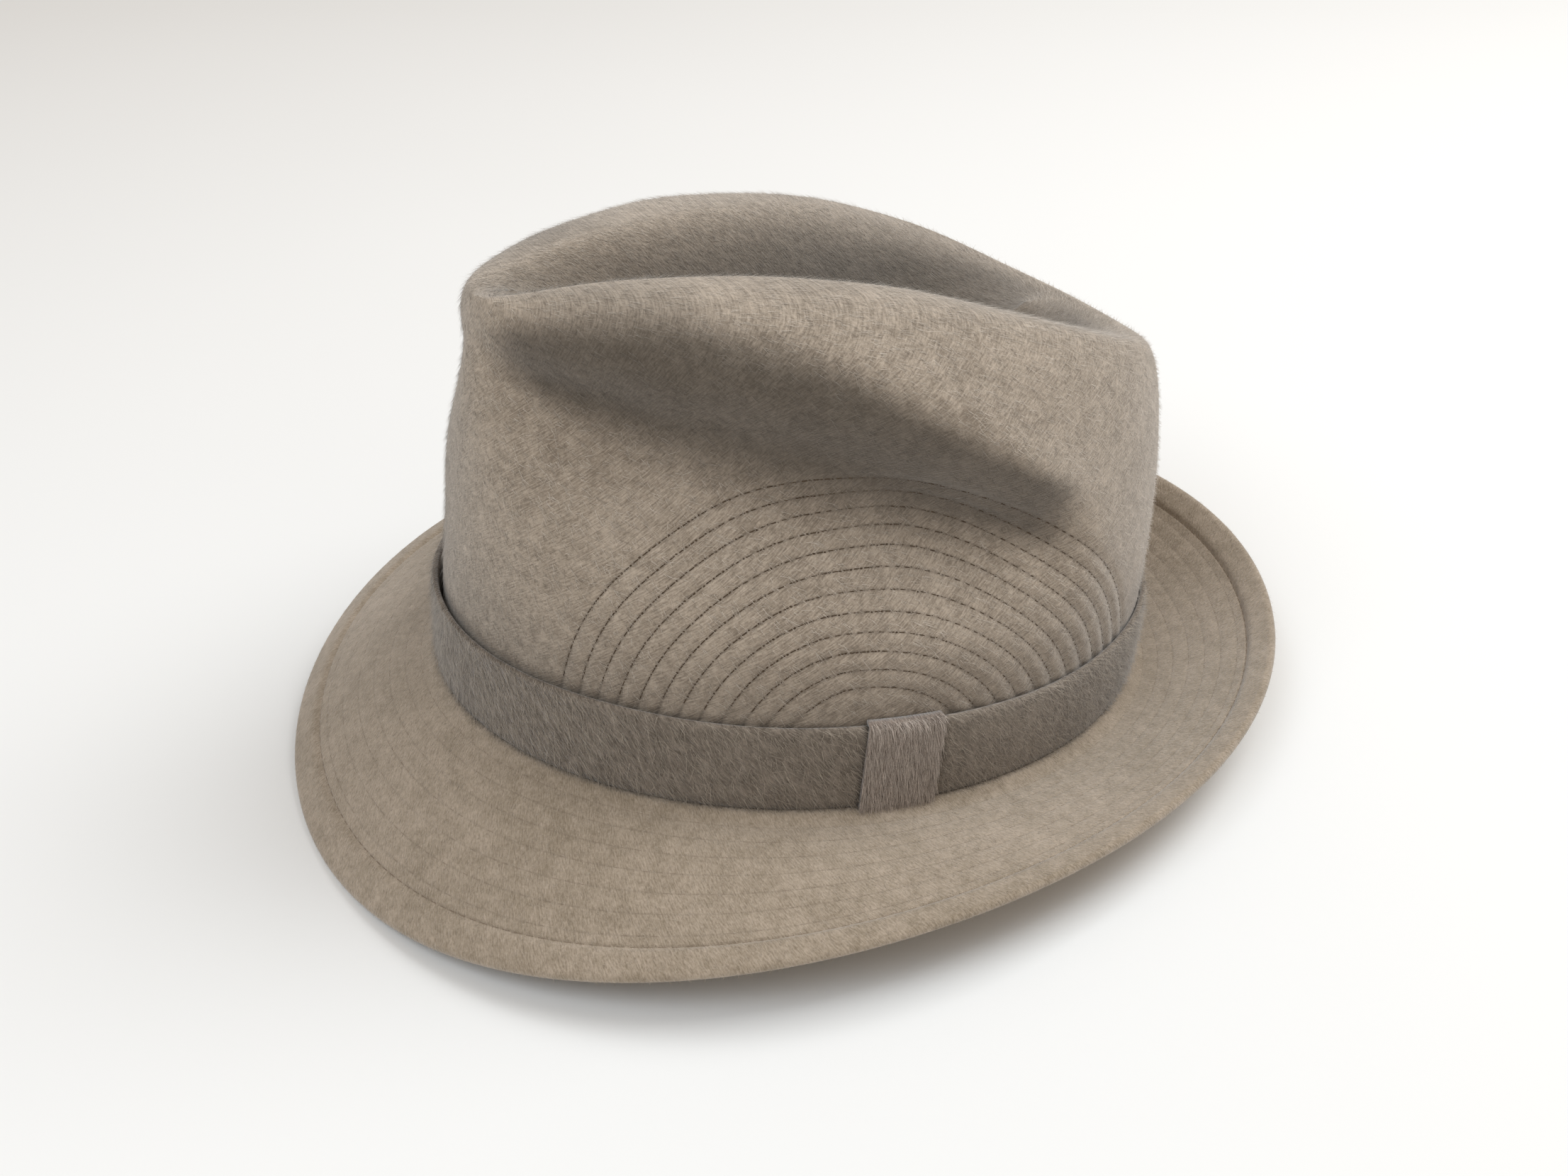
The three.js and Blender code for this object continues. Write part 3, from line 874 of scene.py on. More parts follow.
@dataclass
class Stitching:
    """Rows of topstitching along lines on the felt."""

    name: str
    length: float = 2.4
    gap: float = 0.5
    width: float = 0.42
    dip: float = 0.3
    shown: float = 1.0
    tip: float = 0.56
    body: float = 0.3
    sides: int = 5
    seed: int = 5
    places: list = field(default_factory=list)

    def run(self, line: Array, normal: Array) -> None:
        """Sew one row along a line of points.

        Args:
            line: points of the line.
            normal: outward direction of the felt at each point.
        """
        step = np.linalg.norm(np.diff(line, axis=0), axis=1)
        travel = np.concatenate([[0], np.cumsum(step)])
        pitch = self.length + self.gap
        starts = np.arange(0, travel[-1] - pitch, pitch)
        rng = np.random.default_rng(self.seed + len(self.places))
        starts = starts[rng.random(len(starts)) < self.shown]

        def at(where: Array, values: Array) -> Array:
            """Return values at distances along the line."""
            return np.stack([np.interp(where, travel, values[:, k]) for k in range(3)], -1)

        a, b = at(starts, line), at(starts + self.length, line)
        n = unit(at(starts + self.length / 2, normal))
        along = b - a
        side = unit(np.cross(along, n))
        up = unit(np.cross(side, along))
        self.places.append(np.stack([(a + b) / 2, along, side * self.width, up * self.width], 1))

    def sew(self, rest: Rest) -> Piece:
        """Make the piece with all the stitches of the rows."""
        sides = self.sides
        ring = circle(sides)
        sunk = self.dip / self.width
        shape = [(-self.tip, 0.0, -sunk)]
        shape += [(-self.body, x, y) for x, y in ring]
        shape += [(self.body, x, y) for x, y in ring]
        shape += [(self.tip, 0.0, -sunk)]
        last = 2 * sides + 1
        faces = []
        for k in range(sides):
            m = (k + 1) % sides
            faces.append((0, 1 + k, 1 + m))
            faces.append((1 + k, 1 + sides + k, 1 + sides + m, 1 + m))
            faces.append((last, 1 + sides + m, 1 + sides + k))
        return solids(self.name, rest, np.array(shape), faces, np.concatenate(self.places))


@dataclass
class NeedleMarks:
    """Dark pricks where the needle went through the felt: thread-coloured dots for the thread in each
    hole, wider than the thread to paint the shade inside the hole.
    """

    name: str
    width: float = 0.8
    depth: float = 0.3
    rise: float = 0.05
    behind: float = 0.62
    sides: int = 6

    def prick(self, rest: Rest, places: list) -> Piece:
        """Make one mark between each two stitches.

        Args:
            rest: how the hat stands.
            places: frames of the stitches.

        Returns:
            The piece with all the marks.
        """
        found = np.concatenate(places)
        along, side, up = (unit(found[:, k]) for k in (1, 2, 3))
        spot = found[:, 0] - found[:, 1] * self.behind
        frames = np.stack([spot, along * self.width, side * self.width, up], 1)
        shape = [(x, y, 0.0) for x, y in circle(self.sides)]
        shape += [(0.0, 0.0, self.rise), (0.0, 0.0, -self.depth)]
        faces = []
        for k in range(self.sides):
            m = (k + 1) % self.sides
            faces += [(m, k, self.sides), (k, m, self.sides + 1)]
        return solids(self.name, rest, np.array(shape), faces, frames)


@dataclass(frozen=True)
class ArchedRows:
    """Arched rows of topstitching over the band on the wearer's left."""

    count: int = 12
    shown_from: float = 25.5
    clear: float = 0.4
    foot: float = 0.0
    centre: tuple[float, ...] = (109.3, 0.8, -0.125)
    height: tuple[float, ...] = (35.0, 4.6, -0.06)
    front_reach: tuple[float, ...] = (14.0, 1.8, 0.15)
    back_reach: tuple[float, ...] = (18.4, 4.3, -0.12)
    front_fullness: tuple[float, ...] = (1.96, 0.07)
    back_fullness: tuple[float, ...] = (2.25, -0.03)
    groove: float = 0.7
    groove_width: float = 1.25

    def grow(self, sizes: tuple[float, ...], row: Array) -> Array:
        """Return a size that grows with the row number, in powers of it."""
        return sum(size * np.maximum(row, -1.0) ** power for power, size in enumerate(sizes))

    def form(self, row: Array, ahead: Array) -> tuple[Array, Array]:
        """Return a row's half width in degrees and its fullness, on either side."""
        half = np.where(ahead, self.grow(self.front_reach, row), self.grow(self.back_reach, row))
        full = np.where(ahead, self.grow(self.front_fullness, row), self.grow(self.back_fullness, row))
        return half, full

    def number(self, theta: Array, z: Array) -> Array:
        """Return the row that passes a point, with parts of a row between rows."""
        angle = np.degrees(theta)
        low = np.full(np.broadcast(angle, z).shape, -2.0)
        high = np.full(low.shape, self.count + 4.0)
        for _ in range(26):
            row = (low + high) / 2
            off = angle - self.grow(self.centre, row)
            half, full = self.form(row, off > 0)
            up = np.maximum(z - self.foot, 0) / self.grow(self.height, row)
            outside = (np.abs(off) / half) ** full + up ** full > 1
            low = np.where(outside, row, low)
            high = np.where(outside, high, row)
        return (low + high) / 2

    def press(self, theta: Array, z: Array, girth: float) -> tuple[Array, Array]:
        """Return the row number and the depth that the sewing pulls in.

        Args:
            theta: angles round the head.
            z: heights over the crown's foot.
            girth: millimetres of wall for each radian.

        Returns:
            Row numbers and depths in millimetres.
        """
        row = self.number(theta, z)
        step = 0.3
        along = (self.number(theta + step / girth, z) - row) / step
        up = (self.number(theta, z + step) - row) / step
        nearest = np.clip(np.round(row), 0, self.count - 1)
        away = np.abs(row - nearest) / np.maximum(np.hypot(along, up), 0.05)
        return row, self.groove * np.exp(-(away / self.groove_width) ** 2)

    def line(self, row: int, steps: int = 360) -> tuple[Array, Array]:
        """Return the angles and heights of one row, from back to front."""
        turn = np.linspace(math.pi, 0, steps)
        c, s = np.cos(turn), np.sin(turn)
        half, full = self.form(row, c > 0)
        angle = self.grow(self.centre, row) + np.sign(c) * np.abs(c) ** (2 / full) * half
        z = self.foot + self.grow(self.height, row) * np.abs(s) ** (2 / full)
        return np.radians(angle), z


@dataclass
class Crown:
    """Dented crown with its topstitched arches and its nap."""

    block: Block
    rest: Rest
    arches: ArchedRows = ArchedRows()
    felt: float = 2.2
    coarse_step: float = 1.375
    fine_step: float = 0.625
    fine_from: float = 55.0
    fine_to: float = 160.0
    covered_rows: int = 6
    wall_rows: int = 66
    shoulder_rows: int = 18
    dent_rows: int = 22
    covered: float = 0.2
    shoulder: float = 0.85
    crowding: float = 2.6
    sewn_from: float = 40.0
    sewn_to: float = 178.0
    sewn_foot: float = 16.0
    calm_to: float = 26.0
    calm_span: float = 14.0
    seam_calm: int = 6
    slow_wave: tuple[float, ...] = (17.0, 29.0, 15.0, 23.0)
    quick_wave: tuple[float, ...] = (9.0, 11.0, 8.0, 13.0)
    quick_start: float = 1.3
    wave_height: tuple[float, float] = (0.35, 0.16)
    inner_wall_step: int = 6
    inner_dent_step: int = 4
    evening_rounds: int = 10
    evening_reach: int = 3
    chart_top: float = 40.0
    chart_narrow: float = 0.75
    chart_inside: float = 150.0
    thread_sunk: float = 0.04
    nap_from: float = 24.0
    nap_span: float = 3.0
    fold_from: float = 0.8
    fold_span: float = 0.15
    fold_thin: float = 0.8
    fold_reach: float = 0.3

    def columns(self) -> Array:
        """Return the angles of the columns, the same on both sides."""
        back = np.arange(0, self.fine_from, self.coarse_step)
        fine = np.arange(self.fine_from, self.fine_to, self.fine_step)
        steps = round((180 - self.fine_to) / self.coarse_step)
        front = np.linspace(self.fine_to, 180, steps, endpoint=False)
        half = np.concatenate([back, fine, front, [180.0]])
        return np.radians(np.concatenate([half, 360 - half[-2:0:-1]]))

    def shares(self) -> Array:
        """Return the shares of the wall's rows, close together at the shoulder."""
        low = np.linspace(0, self.covered, self.covered_rows, endpoint=False)
        wall = np.linspace(self.covered, self.shoulder, self.wall_rows, endpoint=False)
        t = np.linspace(0, 1, self.shoulder_rows, endpoint=False)
        top = 1 - (1 - self.shoulder) * (1 - t) ** self.crowding
        return np.concatenate([low, wall, top])

    def waves(self, points: Array) -> Array:
        """Return the slow unevenness of hand-shaped felt, in millimetres."""
        x, y, z = points[..., 0], points[..., 1], points[..., 2]
        a, b, c, d = self.slow_wave
        slow = np.sin(x / a + y / b) * np.sin(z / c + y / d)
        a, b, c, d = self.quick_wave
        quick = np.sin(x / a - z / b + self.quick_start) * np.sin(y / c + z / d)
        return self.wave_height[0] * slow + self.wave_height[1] * quick

    def calm(self, z: Array) -> Array:
        """Return how much of the unevenness shows at a height, none under the band."""
        return smooth((z - self.calm_to) / self.calm_span)

    def surface(self) -> tuple[Array, Array, Array, Array]:
        """Return the outer face: points, row numbers, even normals and painted shade."""
        theta = self.columns()[None, :]
        shares = self.shares()[:, None]
        wall = self.block.wall(theta, shares)
        inward = np.linspace(0, 1, self.dent_rows + 1)[:, None]
        dent = self.block.dent(theta, inward)
        points = np.concatenate([wall, dent])
        normal = grid_frame(points)[0]
        normal[-1] = (0, 0, 1)
        row, press = self.arches.press(theta, wall[..., 2], self.block.half_length)
        angle = np.degrees(theta)
        left = (angle > self.sewn_from) & (angle < self.sewn_to) & (wall[..., 2] > self.sewn_foot)
        depth = np.concatenate([np.where(left, press, 0), np.zeros(dent.shape[:2])])
        rows = np.concatenate([np.where(left, row, UNSEWN), np.full(dent.shape[:2], UNSEWN)])
        seam = inward ** self.seam_calm * np.ones(dent.shape[:2])
        calm = np.concatenate([self.calm(wall[..., 2]), 1 - seam])
        moved = self.waves(points) * calm - depth
        # Painted shade: darker in the side pinch, just over the band and in the centre dent.
        hollow = np.concatenate([
            self.block.wall_hollow(theta, wall[..., 2]), self.block.dent_hollow(theta, inward)])
        return points + normal * moved[..., None], rows, normal, hollow

    def lining_face(self, points: Array, normal: Array) -> Array:
        """Return the points of the inner face, on fewer rows."""
        wall = len(self.shares())
        low = np.arange(0, wall, self.inner_wall_step)
        top = np.arange(wall, len(points), self.inner_dent_step)
        keep = np.unique(np.concatenate([low, top, [len(points) - 1]]))
        even = normal.copy()
        for _ in range(self.evening_rounds):
            even += np.roll(even, self.evening_reach, 1) + np.roll(even, -self.evening_reach, 1)
            even[1:-1] += even[2:] + even[:-2]
            even = unit(even)
        even[0, :, 2] = 0
        even[-1, :, 0] = 0
        even = unit(even)
        return points[keep] - even[keep] * self.thickness()[keep]

    def thickness(self) -> Array:
        """Return the felt's thickness, thinned where the two ridges are pinched together."""
        theta = self.columns()
        narrow = np.where(np.cos(theta) < 0, 1 - smooth(np.abs(np.sin(theta)) / self.fold_reach), 0)
        high = np.concatenate([
            smooth((self.shares() - self.fold_from) / self.fold_span), np.ones(self.dent_rows + 1)])
        return self.felt * (1 - self.fold_thin * narrow[None, :, None] * high[:, None, None])

    def build(self, finish: FeltFinish) -> Piece:
        """Make the felt shell."""
        points, rows, normal, hollow = self.surface()
        inner = self.lining_face(points, normal)
        cloth = Cloth(self.rest)
        # The outer face carries the painted shade; the inner face carries none.
        outer_index = cloth.add(points, row=rows, hollow=hollow)
        inner_index = cloth.add(inner, row=np.array(UNSEWN), hollow=np.array(0.0))
        around = np.append(self.columns(), TURN)[None, :] * self.block.girth
        wall = len(self.shares())
        height = np.concatenate([
            self.shares() * self.block.height,
            self.block.height + np.linspace(0, self.chart_top, self.dent_rows + 1)])[:, None]
        lean = np.ones_like(height)
        lean[wall:, 0] = np.linspace(1, self.chart_narrow, self.dent_rows + 1)
        cloth.skin(outer_index, chart_of(around * lean, height))
        rim = np.stack([inner_index[0], outer_index[0]])
        cloth.skin(rim, chart_of(around, np.array([[0.0], [self.felt]])))
        inside = chart_of(around, np.linspace(0, self.chart_inside, len(inner))[:, None])
        cloth.skin(inner_index, inside, turned=True)
        piece = cloth.build("felt_crown", merge=0.004)
        return attach(piece, "crown_felt", finish, "crown")

    def sewn(self, finish: ThreadFinish) -> list[Piece]:
        """Sew the arched rows and prick their needle marks."""
        sewing = Stitching("crown_topstitch", length=2.05, gap=0.8, width=0.32)
        step = 0.01
        for row in range(self.arches.count):
            theta, z = self.arches.line(row)
            shown = z > self.arches.shown_from + self.arches.clear
            theta, z = theta[shown], z[shown]
            share = z / self.block.ridge_height(theta)
            here = self.block.wall(theta, share)
            along = self.block.wall(theta + step, share) - self.block.wall(theta - step, share)
            up = self.block.wall(theta, share + step) - self.block.wall(theta, share - step)
            normal = unit(np.cross(up, along))
            wave = self.waves(here) * self.calm(here[..., 2])
            sunk = wave - self.arches.groove + self.thread_sunk
            sewing.run(here + normal * sunk[:, None], normal)
        marks = NeedleMarks("crown_needle_marks").prick(self.rest, sewing.places)
        return [attach(piece, "crown_felt", finish) for piece in (sewing.sew(self.rest), marks)]

    def brushed(self, finish: HairFinish) -> list[Piece]:
        """Brush up the nap of the wall and of the top."""
        points, rows, _, hollow = self.surface()
        wall = len(self.shares())
        z = points[..., 2]
        weight = smooth((z - self.nap_from) / self.nap_span)
        side = Nap("crown_wall_nap", 49000, (1.8, 3.8), width=0.12, lay=38.0, spread=20.0, seed=11)
        top = Nap("crown_top_nap", 25000, (1.8, 3.6), width=0.12, lay=30.0, seed=12)
        near = slice(0, wall + 2)
        far = slice(wall + 1, len(points) - 1)
        sewn = np.where(rows < self.arches.count - 0.5, rows, 0.5)
        # The hairs carry the painted shade of the felt under them.
        return [
            attach(side.grow(self.rest, points[near], weight[near], rows=sewn[near],
                             hollow=hollow[near]), "crown_felt", finish),
            attach(top.grow(self.rest, points[far], hollow=hollow[far]), "crown_felt", finish),
        ]


@dataclass
class Brim:
    """Stitched brim with a turned welt along its edge.

    Felt that no ring crosses has a ring number well away from the rings' own.
    """

    cut: BrimCut
    rest: Rest
    felt: float = 2.1
    crown_felt: float = 2.2
    welt_width: float = 7.0
    welt_rise: float = 0.9
    columns: int = 480
    ring_count: int = 7
    ring_start: float = 6.0
    ring_inset: float = 2.2
    ring_depth: Around = Around(0.03, 0.08, 0.13)
    ring_width: float = 0.8
    ring_gap: float = 5.4
    before_rings: float = -3.0
    on_welt: float = 9.0
    past_welt: float = 20.0
    chart_out: float = 20.0
    foot_steps: tuple[float, ...] = (-0.1, 1.0, 2.0, 2.8, 3.6, 4.4)
    steps: tuple[float, ...] = (0.0, 0.09, 0.2, 0.35, 0.5, 0.65, 0.8, 0.91)
    inset_steps: tuple[float, ...] = (0.25, 0.5, 0.75, 0.9)
    edge_turns: tuple[int, ...] = (72, 48, 24, 0, -24, -48, -72, -90)
    under_rows: int = 16
    ring_thread: float = 0.06
    welt_thread: float = 0.3
    welt_steps: tuple[tuple[float, float], ...] = (
        (0.3, -0.1), (0.7, 0.45), (1.2, 0.8), (2.0, 0.95), (3.2, 1.0), (4.4, 0.98), (5.4, 0.92))

    def ring_distance(self, number: Array, theta: Array) -> Array:
        """Return how far out a sewn ring lies, with parts of a ring between."""
        last = self.cut.reach(theta) - self.welt_width - self.ring_inset
        return mix(self.ring_start, last, number / (self.ring_count - 1))

    def section(self) -> tuple[Array, Array, Array]:
        """Return the brim's section at every column.

        Returns:
            Points, ring numbers and distances along the felt, in rows out along the
            top, round the edge and back underneath.
        """
        theta = even_angles(self.columns)
        reach = self.cut.reach(theta)
        welt = reach - self.welt_width
        deep = self.ring_depth.at(theta)
        rows: list[tuple[Array, Array, Array]] = []

        def put(distance: Array, depth: Array, ring: Array) -> None:
            """Add one row."""
            rows.append(tuple(np.broadcast_to(v, theta.shape) for v in (distance, depth, ring)))

        for distance in (-self.crown_felt, *self.foot_steps):
            put(distance, 0.0, self.before_rings)
        for ring in range(self.ring_count):
            for part in self.steps:
                number = ring + part
                if number > self.ring_count - 1:
                    break
                away = min(part, 1 - part) * self.ring_gap
                depth = deep * math.exp(-(away / self.ring_width) ** 2)
                put(self.ring_distance(number, theta), depth, number)
        last = self.ring_distance(self.ring_count - 1, theta)
        for share in self.inset_steps:
            depth = deep * math.exp(-(share * self.ring_inset / self.ring_width) ** 2)
            put(mix(last, welt, share), depth, self.ring_count - 1 + 0.4 * share)
        put(welt, 0.3, self.on_welt)
        for out, lift in self.welt_steps:
            put(welt + out, -self.welt_rise * lift, self.on_welt + out)
        middle = (self.felt - self.welt_rise) / 2
        radius = (self.felt + self.welt_rise) / 2
        for turn in np.radians(self.edge_turns):
            put(reach - radius + radius * math.cos(turn), middle - radius * math.sin(turn), self.past_welt)
        for share in np.linspace(0.94, 0.0, self.under_rows):
            put(mix(-self.crown_felt, reach - radius, share), self.felt, self.past_welt)
        distance, depth, ring = (np.stack(parts) for parts in zip(*rows))
        points = self.cut.point(theta[None, :], distance, depth)
        travel = np.concatenate([
            np.zeros((1, len(theta))),
            np.cumsum(np.linalg.norm(np.diff(points, axis=0), axis=-1), 0)])
        return points, ring, travel

    def build(self, finish: FeltFinish) -> Piece:
        """Make the brim."""
        points, ring, travel = self.section()
        cloth = Cloth(self.rest)
        index = cloth.add(points, row=ring)
        theta = np.linspace(0, TURN, self.columns + 1)[None, :]
        girth = self.cut.block.girth + self.chart_out
        up = np.concatenate([travel, travel[:, :1]], 1)
        up = np.concatenate([up, up[-1:] + self.felt], 0)
        cloth.skin(index, chart_of(theta * girth, up), loop=True, turned=True)
        piece = cloth.build("felt_brim", flatten=True)
        return attach(piece, "brim_felt", finish, "brim")

    def sewn(self, finish: ThreadFinish) -> list[Piece]:
        """Sew the rings and the row along the welt."""
        theta = np.linspace(0, TURN, 900)
        rings = Stitching("brim_topstitch", length=2.6, gap=0.9, width=0.2, dip=0.2, shown=0.5, seed=31)
        for number in range(self.ring_count):
            distance = self.ring_distance(number, theta)
            self._row(rings, theta, distance, self.ring_depth.at(theta) + self.ring_thread)
        welt = Stitching("welt_stitch", length=2.9, gap=0.4, width=0.3, seed=37)
        self._row(welt, theta, self.cut.reach(theta) - self.welt_width + 0.05, np.array(self.welt_thread))
        return [attach(rows.sew(self.rest), "brim_felt", finish) for rows in (rings, welt)]

    def _row(self, sewing: Stitching, theta: Array, distance: Array, depth: Array) -> None:
        """Sew one ring at a distance from the crown."""
        line = self.cut.point(theta, distance, depth)
        below = self.cut.point(theta, distance, depth + 1.0)
        sewing.run(line, unit(line - below))

    def brushed(self, finish: HairFinish) -> Piece:
        """Brush the short nap of the top face."""
        points, ring, _ = self.section()
        top = int(np.argmax(ring[:, 0] >= self.past_welt)) + 4
        nap = Nap("brim_nap", 40000, (0.9, 1.9), width=0.09, lift=(3, 16), lay=62.0, spread=34.0, seed=21)
        return attach(nap.grow(self.rest, points[1:top][::-1]), "brim_felt", finish)


@dataclass
class Band:
    """Felt strip round the foot of the crown."""

    block: Block
    rest: Rest
    height: float = 25.5
    foot: float = 1.95
    felt: float = 1.6
    fit: float = 0.3
    flare: float = 1.3
    flare_spread: float = 0.75
    slow_sag: float = 0.25
    quick_sag: float = 0.15
    belly: float = 0.25
    # Painted shade: the band is darker at its foot by the brim and on both sides of the keeper.
    foot_shade: float = 0.75
    foot_shade_width: float = 2.4
    front_width: float = 1.1
    rear_shade: float = 0.5
    rear_width: float = 0.9
    keeper_angle: float = 103.0
    keeper_width: float = 20.0
    columns: int = 560

    def section(self) -> Array:
        """Return the points of the strip, in rows that run round its section."""
        theta = even_angles(self.columns)
        half = self.felt / 2
        outline: list[tuple[float, float]] = []

        def edge(angles: tuple[int, ...], way: int) -> None:
            """Round the upper edge of the strip with way 1, the lower one with -1."""
            for turn in map(math.radians, angles):
                up = (math.sin(turn) - way) * half / self.height
                outline.append((half + half * math.cos(turn), max(way, 0) + up))

        for share in np.linspace(0.06, 0.94, 6):
            outline.append((0.0, share))
        edge((160, 130, 90, 50, 20), 1)
        for share in np.linspace(0.94, 0.06, 12):
            outline.append((self.felt, share))
        edge((-20, -50, -90, -130, -160), -1)
        rows = []
        sag = self.slow_sag * np.sin(3 * theta + 0.6) + self.quick_sag * np.sin(8 * theta)
        for out, share in outline:
            z = self.foot + share * (self.height - self.foot + sag * share)
            ahead = np.exp(-((theta - math.pi) / self.flare_spread) ** 2)
            gap = self.flare * ahead * share ** 3
            swell = self.belly * math.sin(math.pi * share) * out / self.felt
            rows.append(self.block.beside(theta, z, self.fit + out + gap + swell))
        return np.stack(rows)

    def keeper_spread(self, columns: int) -> Array:
        """Return the angles of the keeper's columns, from back to front."""
        centre = math.radians(self.keeper_angle)
        across, along = self.block.half_width, self.block.half_length
        speed = math.hypot(across * math.cos(centre), along * math.sin(centre))
        half = self.keeper_width / 2 / speed
        return centre + np.linspace(-half, half, columns)

    def shade(self, points: Array) -> Array:
        """Return the painted shade beside the keeper and at the band's foot, from 0 to 1."""
        theta = even_angles(self.columns)
        rear, front = self.keeper_spread(2)
        ahead = np.maximum(theta - front, 0) * self.block.girth / self.front_width
        behind = np.maximum(rear - theta, 0) * self.block.girth / self.rear_width
        beside = np.maximum(np.exp(-ahead ** 2) * (theta > rear),
                            self.rear_shade * np.exp(-behind ** 2) * (theta < front))
        low = self.foot_shade * smooth(1 - (points[..., 2] - self.foot) / self.foot_shade_width)
        return np.maximum(beside[None, :], low)

    def build(self, finish: FeltFinish) -> Piece:
        """Make the strip."""
        points = self.section()
        cloth = Cloth(self.rest)
        # The band's points carry the painted shade.
        index = cloth.add(points, hollow=self.shade(points))
        around = np.linspace(0, TURN, self.columns + 1)[None, :] * self.block.girth
        cloth.skin(index, chart_of(around, way_round(points)), loop=True, turned=True)
        return attach(cloth.build("felt_band"), "band_felt", finish, "hatband")

    def brushed(self, finish: HairFinish) -> Piece:
        """Brush up the long nap of the outer face."""
        points = self.section()
        outer = points[8:26][::-1]
        # The hairs carry the band's painted shade.
        dark = self.shade(points)[8:26][::-1]
        nap = Nap("band_nap", 26000, (2.4, 5.2), width=0.14, lift=(5, 30), lay=48.0, spread=24.0, seed=41)
        return attach(nap.grow(self.rest, outer, hollow=dark), "band_felt", finish)


@dataclass
class Keeper:
    """Short felt loop over the band on the wearer's left."""

    block: Block
    rest: Rest
    band: Band
    felt: float = 0.9
    columns: int = 26

    def outline(self) -> list[tuple[float, float]]:
        """Return the section of the loop as offsets and heights."""
        lip, foot = self.band.fit, self.band.foot - 0.2
        inside = self.band.fit * 2 + self.band.felt
        outside = inside + self.felt
        top = self.band.height + self.band.fit + self.felt
        bend = self.felt

        def corner(angles: tuple[int, ...], z: float) -> list[tuple[float, float]]:
            """Return a rounded corner whose middle lies at a height."""
            return [(outside - bend + bend * math.cos(turn), z + bend * math.sin(turn))
                    for turn in map(math.radians, angles)]

        outer = [(lip, foot), (outside - bend * 1.6, foot), *corner((-60, -30, 0), foot + bend)]
        outer += [(outside, z) for z in np.linspace(foot + bend * 2, top - bend * 2, 14)]
        outer += [*corner((0, 30, 60), top - bend), (outside - bend * 1.6, top), (lip, top)]
        inner = [(lip, top - self.felt), (inside, top - self.felt)]
        inner += [(inside, foot + self.felt), (lip, foot + self.felt)]
        return outer + inner

    def grid(self) -> Array:
        """Return the points of the loop, in rows round its section."""
        theta = self.band.keeper_spread(self.columns)
        return np.stack([self.block.beside(theta, z, offset) for offset, z in self.outline()])

    def build(self, finish: FeltFinish) -> Piece:
        """Make the loop, with rounded corners and closed side edges."""
        points = self.grid()
        cloth = Cloth(self.rest)
        index = cloth.add(points)
        across = np.linspace(0, self.band.keeper_width, self.columns)[None, :]
        cloth.skin(index, chart_of(across, way_round(points)), ring=False, loop=True)
        piece = cloth.build("felt_keeper")
        body = bmesh.new()
        body.from_mesh(piece.data)
        bmesh.ops.holes_fill(body, edges=[e for e in body.edges if e.is_boundary], sides=0)
        bmesh.ops.triangulate(body, faces=[f for f in body.faces if len(f.verts) > 4])
        bmesh.ops.recalc_face_normals(body, faces=body.faces)
        body.to_mesh(piece.data)
        body.free()
        return attach(piece, "keeper_felt", finish, "band_keeper")

    def brushed(self, finish: HairFinish) -> Piece:
        """Brush up the nap, which runs down the loop."""
        points = self.grid()
        nap = Nap("keeper_nap", 4200, (2.4, 4.8), width=0.15, lift=(4, 26), lay=88.0, spread=8.0, seed=51)
        return attach(nap.grow(self.rest, points[1:23], ring=False), "keeper_felt", finish)


@dataclass(frozen=True)
class Studio:
    """Floor, soft light and camera."""

    look_at: Vector = Vector((0.0220, -0.0173, 0.0488))
    distance: float = 0.4354
    azimuth: float = 59.541
    elevation: float = 33.670
    roll: float = -1.236
    lens: float = 36.868
    floor_size: float = 12.0
    softbox_size: float = 1.0
    room_colour: Colour = (1.0, 0.9, 0.8)
    room_light: float = 0.5

    def camera(self) -> None:
        """Place the camera at the hat's front left."""
        a, e = math.radians(self.azimuth), math.radians(self.elevation)
        back = Vector((math.sin(a) * math.cos(e), -math.cos(a) * math.cos(e), math.sin(e)))
        data = bpy.data.cameras.new("camera")
        data.lens = self.lens
        data.sensor_width = 36.0
        data.clip_start = 0.01
        camera = show("camera", data)
        turn = back.to_track_quat("Z", "Y").to_matrix().to_4x4()
        roll = Matrix.Rotation(math.radians(self.roll), 4, "Z")
        camera.matrix_world = Matrix.Translation(self.look_at + back * self.distance) @ turn @ roll
        bpy.context.scene.camera = camera

    def floor(self) -> None:
        """Lay the pale floor."""
        bpy.ops.object.select_all(action="DESELECT")
        bpy.ops.mesh.primitive_plane_add(size=self.floor_size)
        floor = bpy.context.object
        floor.name = "floor"
        board = Board("floor_paint")
        grain = board.noise(board.object_map(3.0), detail=2.0)
        board.shade(board.blend(grain, (0.88, 0.88, 0.87), (0.9, 0.9, 0.89)), None, 0.0, 0.0)
        floor.data.materials.append(board.material)

    def light(self) -> None:
        """Hang a wide soft light behind and one ahead, in a pale room."""
        world = bpy.data.worlds.new("room")
        world.use_nodes = True
        inputs = world.node_tree.nodes["Background"].inputs
        inputs["Color"].default_value = (*self.room_colour, 1)
        inputs["Strength"].default_value = self.room_light
        bpy.context.scene.world = world
        self._softbox("behind", Vector((0.2, 0.96, 1.32)), 16.8, (0.93, 0.97, 1.0))
        self._softbox("ahead", Vector((0.3, -0.94, 1.32)), 9.2, (0.8, 0.9, 1.0))

    def _softbox(self, name: str, place: Vector, power: float, colour: Colour) -> None:
        """Hang one square light that faces the hat."""
        data = bpy.data.lights.new(name, "AREA")
        data.size = self.softbox_size
        data.energy = power
        data.color = colour
        lamp = show(name, data)
        turn = (place - self.look_at).to_track_quat("Z", "Y").to_matrix().to_4x4()
        lamp.matrix_world = Matrix.Translation(place) @ turn

    def build(self) -> None:
        """Set up the studio."""
        self.camera()
        self.floor()
        self.light()
        bpy.context.scene.view_settings.view_transform = "Standard"


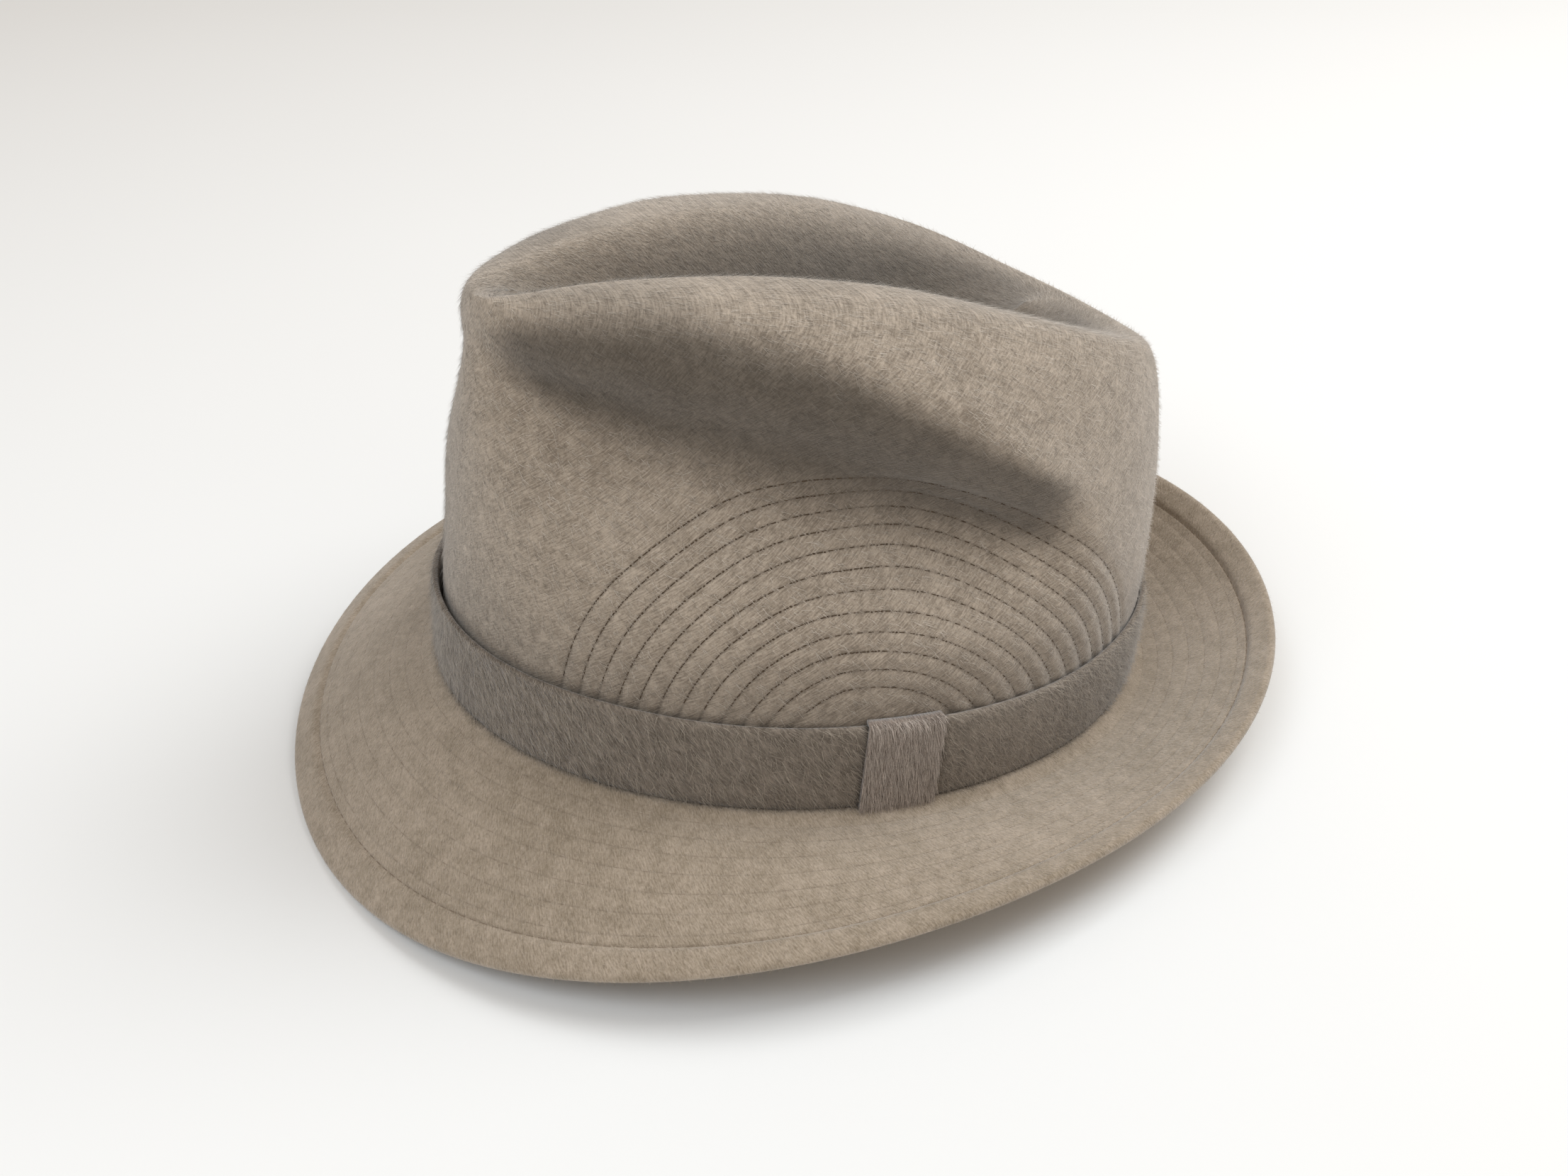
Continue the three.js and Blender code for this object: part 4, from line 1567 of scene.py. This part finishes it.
class Finishes(Enum):
    """The finishes that the hat's pieces wear."""

    # The crown, the band and their hairs darken by painted shade; the crown and brim felts paint a dark
    # line along each sewn row, of shade in its groove and the dark of its stitching.
    CROWN = FeltFinish("crown_felted_wool", hex_colour("b8a998"), hex_colour("837667"), patch_share=0.5,
                       row_line_and_shade=0.12, row_count=12, line_and_shade_strength=0.34,
                       hollow_share=0.7)
    BRIM = FeltFinish("brim_felted_wool", hex_colour("b4a492"), hex_colour("887a67"), lay=62.0,
                      patch_share=0.5, streak_share=0.95, streak_length=1.6, relief=0.15,
                      row_line_and_shade=0.07, row_count=7, line_and_shade_strength=0.16)
    BAND = FeltFinish("band_felted_wool", hex_colour("93877a"), hex_colour("5c5247"), lay=52.0,
                      patch=26.0, patch_share=0.6, streak_width=0.5, streak_share=1.0, relief=0.24,
                      hollow_share=0.75)
    KEEPER = FeltFinish("keeper_felted_wool", hex_colour("a59589"), hex_colour("6a5e54"), lay=88.0,
                        streak_width=0.5, relief=0.24)
    CROWN_HAIR = HairFinish("crown_hair", hex_colour("847768"), hex_colour("dacec0"), hollow_share=0.7)
    BRIM_HAIR = HairFinish("brim_hair", hex_colour("907f6e"), hex_colour("c6b8a7"))
    BAND_HAIR = HairFinish("band_hair", hex_colour("655b50"), hex_colour("b6aa9b"), hollow_share=0.8)
    KEEPER_HAIR = HairFinish("keeper_hair", hex_colour("75695f"), hex_colour("d8cabe"))
    THREAD = ThreadFinish("thread", hex_colour("5e4e3d"), hex_colour("3a2d21"))
    BRIM_THREAD = ThreadFinish("brim_thread", hex_colour("9a8a79"), hex_colour("756758"))


def main() -> None:
    """Build the hat and the studio."""
    logging.basicConfig(level=logging.INFO, format="%(name)s: %(message)s")
    bpy.ops.object.select_all(action="DESELECT")
    block = Block()
    cut = BrimCut(block)
    rest = Rest.on_brim(cut, felt=2.1)
    LOG.info("lean %.3f degrees, set down at %s", math.degrees(rest.lean), np.round(rest.shift, 3))
    crown, brim, band = Crown(block, rest), Brim(cut, rest), Band(block, rest)
    keeper = Keeper(block, rest, band)
    for part, felt, thread, hair in (
            (crown, Finishes.CROWN, Finishes.THREAD, Finishes.CROWN_HAIR),
            (brim, Finishes.BRIM, Finishes.BRIM_THREAD, Finishes.BRIM_HAIR),
            (band, Finishes.BAND, None, Finishes.BAND_HAIR),
            (keeper, Finishes.KEEPER, None, Finishes.KEEPER_HAIR)):
        part.build(felt.value)
        if thread:
            part.sewn(thread.value)
        part.brushed(hair.value)
    Studio().build()


if __name__ == "__main__":
    main()
